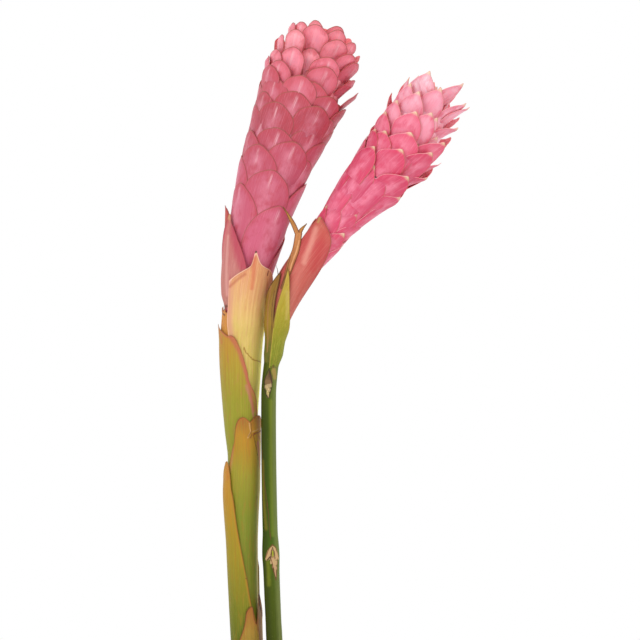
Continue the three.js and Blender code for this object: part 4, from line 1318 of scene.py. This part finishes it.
LEAVES = {
    "sheath_a_hood": leaf_material(
        "Peach hood",
        [
            (0.0, (160, 156, 44)), (0.2, (186, 174, 56)), (0.52, (212, 180, 98)),
            (0.74, (212, 152, 100)), (1.0, (212, 132, 92)),
        ],
        (-60, 66), (240, 196, 166), 0.8, (204, 128, 96), 2.2, (232, 196, 124), (226, 160, 120),
        marks=[
            ((212, 146, 124), 0.7, 1.6, 2.4, [(-40, 40), (-34, 18), (-26, -12)]),
            # Painted shadow under the rolled left rim.
            ((184, 92, 72), 0.6, 0.8, 1.2, [(-38, 37), (-21, 44), (-6, 50)]),
            ((206, 104, 72), 0.6, 1.0, 1.4, [(7, 66), (11, 55), (13, 38)]),
            # Painted light on the right side, which lies in shade.
            ((250, 238, 108), 0.88, 3.0, 6.0, [(72, 30), (76, -20), (80, -70)]),
            ((204, 120, 66), 0.6, 0.52, 0.28, [(50, 50), (58, 36), (66, 16), (67, -6)]),
            ((156, 112, 44), 0.85, 0.6, 0.5, [(8, -16), (14, -20), (36, -26.5), (81, -29)]),
            ((66, 36, 26), 0.95, 0.9, 0.5, [(7, 74), (7.5, 71)]),
            ((120, 62, 50), 0.8, 0.52, 0.28, [(46, 56), (47, 52)]),
        ],
    ),
    "sheath_a_stub": leaf_material(
        "Orange stub",
        [(0.0, (190, 146, 50)), (1.0, (204, 132, 62))],
        (-45, 16), (120, 66, 36), 0.8, (190, 96, 56), 2.0, (216, 160, 80), (206, 150, 80),
        marks=[((104, 60, 40), 0.8, 0.78, 0.42, [(-92, 16), (-72, 13), (-58, 12)])],
    ),
    "sheath_a_left": leaf_material(
        "Left sheath",
        [
            (0.0, (132, 138, 30)), (0.45, (146, 144, 36)), (0.75, (174, 142, 42)),
            (1.0, (192, 132, 46)),
        ],
        (-120, 0), (128, 76, 48), 0.6, (184, 100, 72), 3.0, (168, 160, 60), (180, 150, 70),
        marks=[
            ((184, 94, 76), 0.7, 0.8, 2.2, [(-28, -7), (-6, -18), (12, -36), (29, -55), (45, -73)]),
            ((200, 108, 112), 0.5, 0.6, 1.8, [(16, -50), (34, -66), (44, -78)]),
            ((186, 104, 60), 0.6, 1.4, 1.4, [(-76, -3), (-62, -12)]),
            ((92, 52, 40), 0.9, 0.59, 0.32, [(-92, 5), (-91, 0)]),
            ((190, 120, 84), 0.4, 1.1, 1.1, [(-84, -8), (-86, -60)]),
        ],
    ),
    "sheath_a_front": leaf_material(
        "Front sheath",
        [
            (0.0, (100, 116, 20)), (0.5, (122, 136, 32)), (0.72, (154, 146, 38)),
            (0.9, (186, 132, 32)), (1.0, (164, 102, 40)),
        ],
        (-260, -78), (132, 78, 40), 0.6, (176, 106, 44), 2.2, (146, 138, 54), (180, 150, 80),
        marks=[
            # Painted light on the right side, which lies in shade.
            ((208, 190, 104), 0.7, 2.5, 5.0, [(82, -100), (80, -180), (78, -250)]),
            ((176, 112, 78), 0.9, 2.2, 0.5, [(58, -103), (68, -112), (82, -123)]),
            ((150, 84, 62), 0.8, 1.1, 1.1, [(64, -97), (84, -101)]),
            (DARK, 0.8, 0.33, 0.17, [(38, -95.5), (53, -110), (66, -122), (80, -134)]),
            (DARK, 0.95, 0.45, 0.24, [(40, -94), (64, -93), (90, -91)]),
            ((196, 156, 96), 0.7, 0.59, 0.32, [(36, -92), (62, -90)]),
            ((206, 160, 104), 0.8, 0.52, 0.28, [(18, -97), (28, -92), (24, -84)]),
            ((110, 66, 36), 0.8, 0.33, 0.17, [(20, -96), (32, -91), (30, -84)]),
            ((120, 72, 40), 0.8, 0.39, 0.21, [(26, -83), (40, -79)]),
            ((176, 120, 84), 0.45, 1.1, 1.1, [(-30, -96), (-46, -130), (-54, -146)]),
        ],
    ),
    "sheath_a_lower": leaf_material(
        "Lower sheath",
        [
            (0.0, (84, 108, 8)), (0.3, (96, 116, 12)), (0.65, (158, 140, 26)),
            (1.0, (196, 134, 36)),
        ],
        (-330, -130), (150, 84, 30), 0.7, (176, 128, 36), 2.8, (144, 140, 50), (168, 140, 60),
        marks=[
            # Painted light on the right side, which lies in shade.
            ((176, 180, 84), 0.6, 2.5, 5.0, [(80, -150), (80, -330)]),
            (BROWN, 0.85, 0.45, 0.25, [(-18, -163), (-10, -163)]),
            (BROWN, 0.85, 0.52, 0.28, [(2, -194), (6, -202)]),
            (BROWN, 0.85, 0.39, 0.21, [(9, -223), (17, -224)]),
            ((186, 112, 44), 0.6, 1.7, 1.7, [(-56, -121), (-50, -134)]),
        ],
    ),
    "sheath_a_base": leaf_material(
        "Base sheath",
        [
            (0.0, (136, 132, 44)), (0.35, (146, 140, 48)), (0.7, (178, 138, 50)),
            (1.0, (172, 100, 44)),
        ],
        (-330, -248), (104, 58, 34), 0.7, (172, 104, 48), 2.6, (168, 150, 66), (150, 110, 60),
        marks=[
            ((166, 130, 98), 0.85, 3.0, 1.2, [(62, -252), (62, -268), (66, -300)]),
            ((142, 76, 60), 0.6, 0.52, 0.28, [(44, -262), (52, -274), (56, -300)]),
            (DARK, 0.95, 1, 1, [(56, -236), (62, -248), (84, -260)]),
        ],
    ),
    "bract_a_outer": leaf_material(
        "Salmon outer bract",
        [
            (0.0, (190, 124, 108)), (0.4, (192, 120, 112)), (0.8, (196, 100, 102)),
            (1.0, (188, 116, 92)),
        ],
        (17, 100), (140, 70, 60), 0.7, (184, 66, 88), 3.0, (210, 146, 142), (196, 84, 90),
        marks=[
            ((180, 58, 84), 0.7, 2.9, 2.9, [(-52, 88), (-34, 72), (-14, 56)]),
            # Painted highlight: a pale streak down the bract.
            ((222, 160, 150), 0.6, 1.5, 1.5, [(-66, 80), (-58, 50), (-50, 30)]),
            ((200, 156, 112), 0.8, 1.3, 1.3, [(-70, 100), (-69, 95)]),
            ((110, 60, 44), 0.9, 1.3, 1.3, [(-90, 19), (-56, 20)]),
        ],
    ),
    "bract_a_rear": leaf_material(
        "Brick red rear bract",
        [(0.0, (190, 112, 96)), (0.6, (196, 96, 86)), (1.0, (182, 62, 60))],
        (17, 107), (124, 60, 54), 0.8, (180, 66, 64), 2.5, (204, 124, 112), (176, 72, 76),
    ),
    "sheath_b_olive": leaf_material(
        "Olive sheath",
        [(0.0, (66, 84, 14)), (0.3, (96, 100, 20)), (0.5, (154, 120, 32)), (1.0, (136, 92, 40))],
        (-40, 46), (78, 52, 26), 0.8, (150, 110, 56), 1.8, (150, 132, 60), (150, 120, 66),
        marks=[
            ((168, 116, 74), 0.6, 0.78, 0.42, [(-70, 34), (-46, 8), (-40, -20)]),
            ((92, 58, 40), 0.7, 0.33, 0.17, [(-44, 32), (-28, 14), (-14, -4)]),
        ],
        scale=0.16,
    ),
    "sheath_b_yellow": leaf_material(
        "Yellow-green sheath",
        [(0.0, (96, 114, 18)), (0.3, (128, 132, 22)), (0.65, (168, 148, 38)), (1.0, (188, 142, 60))],
        (-40, 54), (112, 84, 36), 0.5, (192, 164, 66), 1.5, (176, 172, 64), (180, 160, 70),
        marks=[
            ((130, 92, 40), 0.6, 0.78, 0.42, [(-14, 17), (-10, 2)]),
            ((200, 176, 100), 0.45, 0.3, 1.8, [(0, 36), (20, 24), (34, 12)]),
        ],
        scale=0.2,
    ),
    "bract_b_lower": leaf_material(
        "Salmon lower bract",
        [
            (0.0, (184, 96, 78)), (0.45, (190, 84, 74)), (0.8, (192, 74, 76)),
            (1.0, (196, 106, 86)),
        ],
        (0, 107), (150, 88, 66), 0.8, (180, 66, 70), 3.4, (210, 126, 112), (190, 84, 84),
        marks=[
            # Painted highlight: a pale streak down the bract.
            ((222, 150, 134), 0.7, 1.2, 3.2, [(-36, 96), (-22, 84), (-4, 66)]),
            ((210, 132, 118), 0.35, 3.0, 5.0, [(-2, 60), (22, 36), (44, 16)]),
            ((186, 62, 62), 0.5, 2.8, 2.8, [(-14, 98), (10, 84), (34, 66)]),
            ((182, 144, 86), 0.9, 0.9, 1.0, [(-48, 106), (-44, 102)]),
        ],
        scale=0.27,
    ),
    "bract_b_rear": leaf_material(
        "Brown-edged rear bract",
        [(0.0, (190, 100, 90)), (0.6, (196, 84, 92)), (1.0, (150, 66, 62))],
        (20, 119), (74, 42, 36), 1.4, (140, 62, 54), 3.4, (200, 110, 106), (170, 80, 80),
    ),
    "bract_b_dry": leaf_material(
        "Dry bract",
        [
            (0.0, (120, 78, 44)), (0.3, (190, 122, 74)), (0.75, (206, 140, 84)),
            (1.0, (186, 148, 52)),
        ],
        (0, 82), (92, 54, 32), 0.8, (168, 100, 58), 1.6, (140, 82, 46), (180, 124, 70), 0.6,
        marks=[
            ((92, 54, 32), 0.8, 0.39, 0.21, [(-1.5, 2), (-1, 16), (-2, 34)]),
            ((226, 170, 120), 0.7, 0.45, 0.24, [(1.5, 20), (1, 40), (1.5, 52)]),
        ],
        scale=1.0,
    ),
}


# Pieces


# The pot (mm), with its radii at the foot, below the band and at the rim; the soil; and the circles (x, y,
# radius) round the stems that the bark keeps clear of

POT_HEIGHT, POT_FOOT, POT_FLARE, POT_RIM = 170.0, 72.0, 100.0, 104.0
POT_BAND, POT_WALL, POT_FLOOR = 26.0, 7.0, 9.0
SOIL_GAP = 0.6
SOIL_SIDE = 144
HOLES = ((-8, 6, 17), (18, -9, 9))
BARK_CRUMBS = 620


def turned_piece(outline, sides, relief):
    """A surface of revolution through (r, z), as rings changed by relief, closed on the axis at both ends."""
    outline = np.array(outline, float)
    angle = np.linspace(0, 2 * np.pi, sides, endpoint=False)[None, :]
    r = np.broadcast_to(outline[:, 0][:, None], (len(outline), sides)).copy()
    z = np.broadcast_to(outline[:, 1][:, None], r.shape).copy()
    r, z = relief(r, z, angle)
    points = np.stack([r * np.sin(angle), -r * np.cos(angle), z], axis=-1)
    piece = Piece()
    piece.add(ring_topology(len(outline), sides), points, height=z, vary=0.0)
    return piece


def densify(points, step):
    """The same outline with points at most step apart."""
    dense = [points[0]]
    for (r0, z0), (r1, z1) in zip(points[:-1], points[1:]):
        count = max(1, int(math.hypot(r1 - r0, z1 - z0) / step))
        dense += [(lerp(r0, r1, k / count), lerp(z0, z1, k / count)) for k in range(1, count + 1)]
    return dense


def rounded(points, corner):
    """An outline with each inner corner cut back by corner mm and rounded by five points on a parabola."""
    p = [np.array(q, float) for q in points]
    out = [tuple(p[0])]
    for a, b, c in zip(p[:-2], p[1:-1], p[2:]):
        before, after = np.linalg.norm(a - b), np.linalg.norm(c - b)
        cut = min(corner, 0.45 * before, 0.45 * after)
        start, end = b + (a - b) * cut / before, b + (c - b) * cut / after
        out += [tuple(start * (1 - t) ** 2 + 2 * b * t * (1 - t) + end * t**2) for t in np.linspace(0, 1, 5)]
    out.append(tuple(p[-1]))
    return out


def flare(z):
    """The pot's outer radius below its band, from POT_FOOT towards POT_FLARE at POT_HEIGHT."""
    return lerp(POT_FOOT, POT_FLARE, z / POT_HEIGHT)


def make_pot():
    """The pot: a flaring wall 7 thick below a plain band, with its corners rounded by 1.6."""
    under = POT_HEIGHT - POT_BAND
    outline = [
        (0, 0), (POT_FOOT - 2, 0), (POT_FOOT, 2), (flare(under), under), (POT_RIM - 1, under + 1),
        (POT_RIM, POT_HEIGHT - 2), (POT_RIM - 2, POT_HEIGHT), (POT_RIM - POT_WALL, POT_HEIGHT),
        (POT_RIM - POT_WALL - 2, POT_HEIGHT - 3), (flare(under) - POT_WALL, under),
        (flare(POT_FLOOR) - POT_WALL, POT_FLOOR + 3), (flare(POT_FLOOR) - POT_WALL - 3, POT_FLOOR),
        (0, POT_FLOOR),
    ]

    def relief(r, z, angle):
        """Turning marks, 0.25 sin(0.9 z) outside, and a slight lobe, 0.2 sin(3 angle + 0.02 z)."""
        wobble = 0.25 * np.sin(z * 0.9) * smooth(r, 60, 70) + 0.2 * np.sin(3 * angle + z * 0.02)
        return r + wobble * smooth(r, 20, 60), z

    turned_piece(densify(rounded(outline, 1.6), 6.0), 96, relief).make("pot", CLAY, sharp=60)


def soil_height(x, y):
    """152 at the middle, down to 148 at the wall, with crumbs from crossed sine waves of 3 to 17 mm."""
    r = np.hypot(x, y)
    base = lerp(152.0, 148.0, np.clip((r - 60.0) / 28.0, 0.0, 1.0))
    bumps = sum(
        a * np.sin(x * kx + y * ky + phase)
        for a, kx, ky, phase in [
            (0.5, 0.36, 0.11, 0.3), (0.45, -0.17, 0.41, 1.7), (0.35, 0.83, -0.52, 2.9),
            (0.3, 0.61, 0.97, 4.1), (0.22, -1.5, 0.9, 0.8), (0.2, 1.9, 1.4, 5.2),
        ]
    )
    return base + bumps * smooth(r, 88.0, 80.0) - SOIL_GAP


def bark_crumb(draw):
    """A six-sided crumb of bark up to 8 mm long, tilted about x and turned about z, and its half height."""
    long_ = draw.uniform(1.2, 4.2)
    size = np.array([long_, long_ * draw.uniform(0.35, 0.8), long_ * draw.uniform(0.2, 0.45)])
    ring = np.linspace(0, 2 * np.pi, 6, endpoint=False)[None, :]
    level = np.array([-1.0, -0.45, 0.5, 1.0])[:, None]
    girth = np.array([0.0, 0.95, 0.9, 0.0])[:, None] * (1 + 0.2 * draw.normal(size=(4, 6)))
    shape = np.stack([girth * np.cos(ring), girth * np.sin(ring), level + 0 * girth], axis=-1)
    spin = draw.random() * 2 * math.pi
    c, s = math.cos(spin), math.sin(spin)
    tilt = draw.normal() * 0.35
    tilted = np.array([[1, 0, 0], [0, math.cos(tilt), math.sin(tilt)], [0, -math.sin(tilt), math.cos(tilt)]])
    return shape * size @ tilted @ np.array([[c, s, 0], [-s, c, 0], [0, 0, 1]]), size[2]


def make_soil():
    """The soil: a filled body a gap inside the pot, under a crumbly top with bark lying in it."""
    def inner(z):
        """The pot's inner radius less the gap."""
        return flare(z) - POT_WALL - SOIL_GAP

    level = POT_FLOOR + 0.3
    side = [
        (0, level), (inner(9) - 4, level), (inner(13), 14), (inner(SOIL_SIDE), SOIL_SIDE),
        (inner(SOIL_SIDE) - 0.2, 148),
    ]
    top_r = np.linspace(inner(SOIL_SIDE) - 1.5, 0, 52)
    outline = densify(side, 20.0) + [(r, 150.0) for r in top_r]
    top_rows = len(outline) - len(top_r)

    def relief(r, z, angle):
        """The top rows lie at soil_height."""
        z[top_rows:] = soil_height(r * np.sin(angle), -r * np.cos(angle))[top_rows:]
        return r, z

    piece = turned_piece(outline, 150, relief)
    draw = np.random.default_rng(12)
    topology = ring_topology(4, 6)
    for _ in range(BARK_CRUMBS):
        radius = 86.0 * math.sqrt(draw.random())
        turn = draw.random() * 2 * math.pi
        x, y = radius * math.sin(turn), radius * math.cos(turn)
        if any(math.hypot(x - hole_x, y - hole_y) < reach for hole_x, hole_y, reach in HOLES):
            continue
        shape, size = bark_crumb(draw)
        z = float(soil_height(np.array(x), np.array(y))) + 0.1 * size
        piece.add(topology, shape + np.array([x, y, z]), height=z, vary=0.02 + 0.98 * float(draw.random()))
    piece.make("soil", SOIL, sharp=80)


def make_stem(node, line, body, material, sides):
    """A stem from the bottom of its hole up to its head."""
    piece = Piece()
    add_rod(piece, line, body, STEM_FOOT, STALK_FOOT - GAP, 3.0, sides)
    piece.make(node, material)


def make_dry_bract():
    """The dry bract: a stalk that forks into two prongs, as three bowed strips.

    A strip is foot wide at its base, middle halfway and end at its tip, bowed by swell (1 - (2 v)^2) across,
    v from -0.5 to 0.5, with ribs of 0.15 sin(3 x + 6 t). Its painted length runs from start over long mm.
    """
    def on_stem(s, degrees, r):
        """A point r from the second plant's centre line."""
        return LINE_B.point(np.array([s]), np.array([degrees]), np.array([r]))[0]

    stalk = [
        on_stem(36, -22, wrap_b(36) + 1.8), on_stem(47, -26, wrap_b(47) + 2.5),
        on_stem(60, -38, wrap_b(60) + 2.9), on_stem(71, -48, 18.8), on_stem(84, -70, 22.4),
    ]
    depth = stalk[-1][1]
    fork = stalk[-1] - np.array([0, 0, 4])
    left = [fork, (32.4, depth - 1, 582.6), (27, -22, 592.5), (22.9, -23, 598.8)]
    right = [fork, (38.5, depth, 578), (43.9, -16, 584.4)]
    piece = Piece()
    rows, columns = 26, 9
    topology = shell_topology(rows, columns, False)
    strips = (
        (stalk, 3.6, 7.0, 6.4, 0.7, 0.0, 60.0),
        (left, 4.6, 4.0, 0.8, 0.3, 58.0, 24.0),
        (right, 4.4, 3.6, 0.8, 0.3, 58.0, 24.0),
    )
    for places, foot, middle, end, swell, start, long_ in strips:
        p, side, normal = path_through(places, rows, [-0.25, -0.97, 0.0])
        t = np.linspace(0, 1, rows)[:, None]
        v = np.linspace(-0.5, 0.5, columns)[None, :]
        width = lerp(lerp(foot, middle, smooth(t, 0.0, 0.5)), end, smooth(t, 0.4, 1.0))
        x = v * width
        bow = swell * (1 - (2 * v) ** 2) + 0.15 * np.sin(x * 3.0 + t * 6.0)
        outer = p + side * x[..., None] + normal * bow[..., None]
        inner = outer - normal * BLADE
        edge = (0.5 - abs(v)) * width
        length = np.broadcast_to(start + t * long_, x.shape)
        piece.add_shell(topology, outer, inner, edge=edge, s=length, arc=x, turn=x)
    piece.make("bract_b_dry", LEAVES["bract_b_dry"])


CLAY = clay_material()
SOIL = soil_material()
make_pot()
make_soil()
make_stem("stem_a", LINE_A, body_a, STEM_A_GREEN, 48)
make_stem("stem_b", LINE_B, body_b, STEM_B_GREEN, 40)
for node, spec in SHEATHS_A.items():
    make_sheath(node, LINE_A, spec, LEAVES[node], 44, 72)
for node, spec in SHEATHS_B.items():
    make_sheath(node, LINE_B, spec, LEAVES[node], 36, 48)
make_dry_bract()
make_bloom("bloom_a", LINE_A, STALK_A, HEAD_A, 7, PINK_A)
make_bloom("bloom_b", LINE_B, STALK_B, HEAD_B, 21, PINK_B)


# Stage, light and camera

MIDDLE = (0.03, 0.0, 0.5)
CAMERA_FAR = 3.0
FRAME_WIDTH = 0.576


def make_floor():
    """A round pale floor under the pot."""
    shader = Shader("Pale floor")
    grain = shader.noise(shader.place(), 60.0, 2.0)
    colour = shader.mix(grain * 0.2, (0.82, 0.82, 0.81, 1.0), (0.78, 0.78, 0.77, 1.0))
    sides, radius = 96, 0.9
    angle = np.linspace(0, 2 * np.pi, sides, endpoint=False)
    ring = np.stack([radius * np.cos(angle), radius * np.sin(angle), np.zeros(sides)], axis=-1)
    mesh = bpy.data.meshes.new("floor")
    mesh.from_pydata(ring.tolist(), [], [list(range(sides))])
    mesh.materials.append(shader.finish(colour, 0.8, specular=0.2))
    floor = put("floor", mesh)


def make_light(name, place, size, power):
    """A soft square light at place, facing MIDDLE."""
    data = bpy.data.lights.new(name, "AREA")
    data.size = size
    data.energy = power
    light = put(name, data)
    light.location = place
    direction = np.array(MIDDLE) - np.array(place)
    flat = math.hypot(direction[0], direction[1])
    light.rotation_euler = (math.atan2(flat, -direction[2]), 0.0, math.atan2(-direction[0], direction[1]))


def make_camera():
    """A level camera in front, whose lens is sensor * distance / width of the frame."""
    data = bpy.data.cameras.new("camera")
    data.sensor_width = 36.0
    data.lens = data.sensor_width * CAMERA_FAR / FRAME_WIDTH
    data.clip_end = 20.0
    camera = put("camera", data)
    camera.location = (0.0558, -CAMERA_FAR, 0.498)
    camera.rotation_euler = (math.pi / 2, 0.0, 0.0)
    bpy.context.scene.camera = camera


make_floor()
make_light("key light", (-1.1, -1.7, 1.7), 1.2, 13.0)
make_light("fill light", (1.6, -1.4, 0.8), 1.4, 8.0)
make_camera()
world = bpy.data.worlds.new("studio")
world.use_nodes = True
background = world.node_tree.nodes["Background"].inputs
background["Color"].default_value = (1.0, 1.0, 1.0, 1.0)
background["Strength"].default_value = 1.0
bpy.context.scene.world = world
bpy.context.scene.view_settings.view_transform = "Standard"
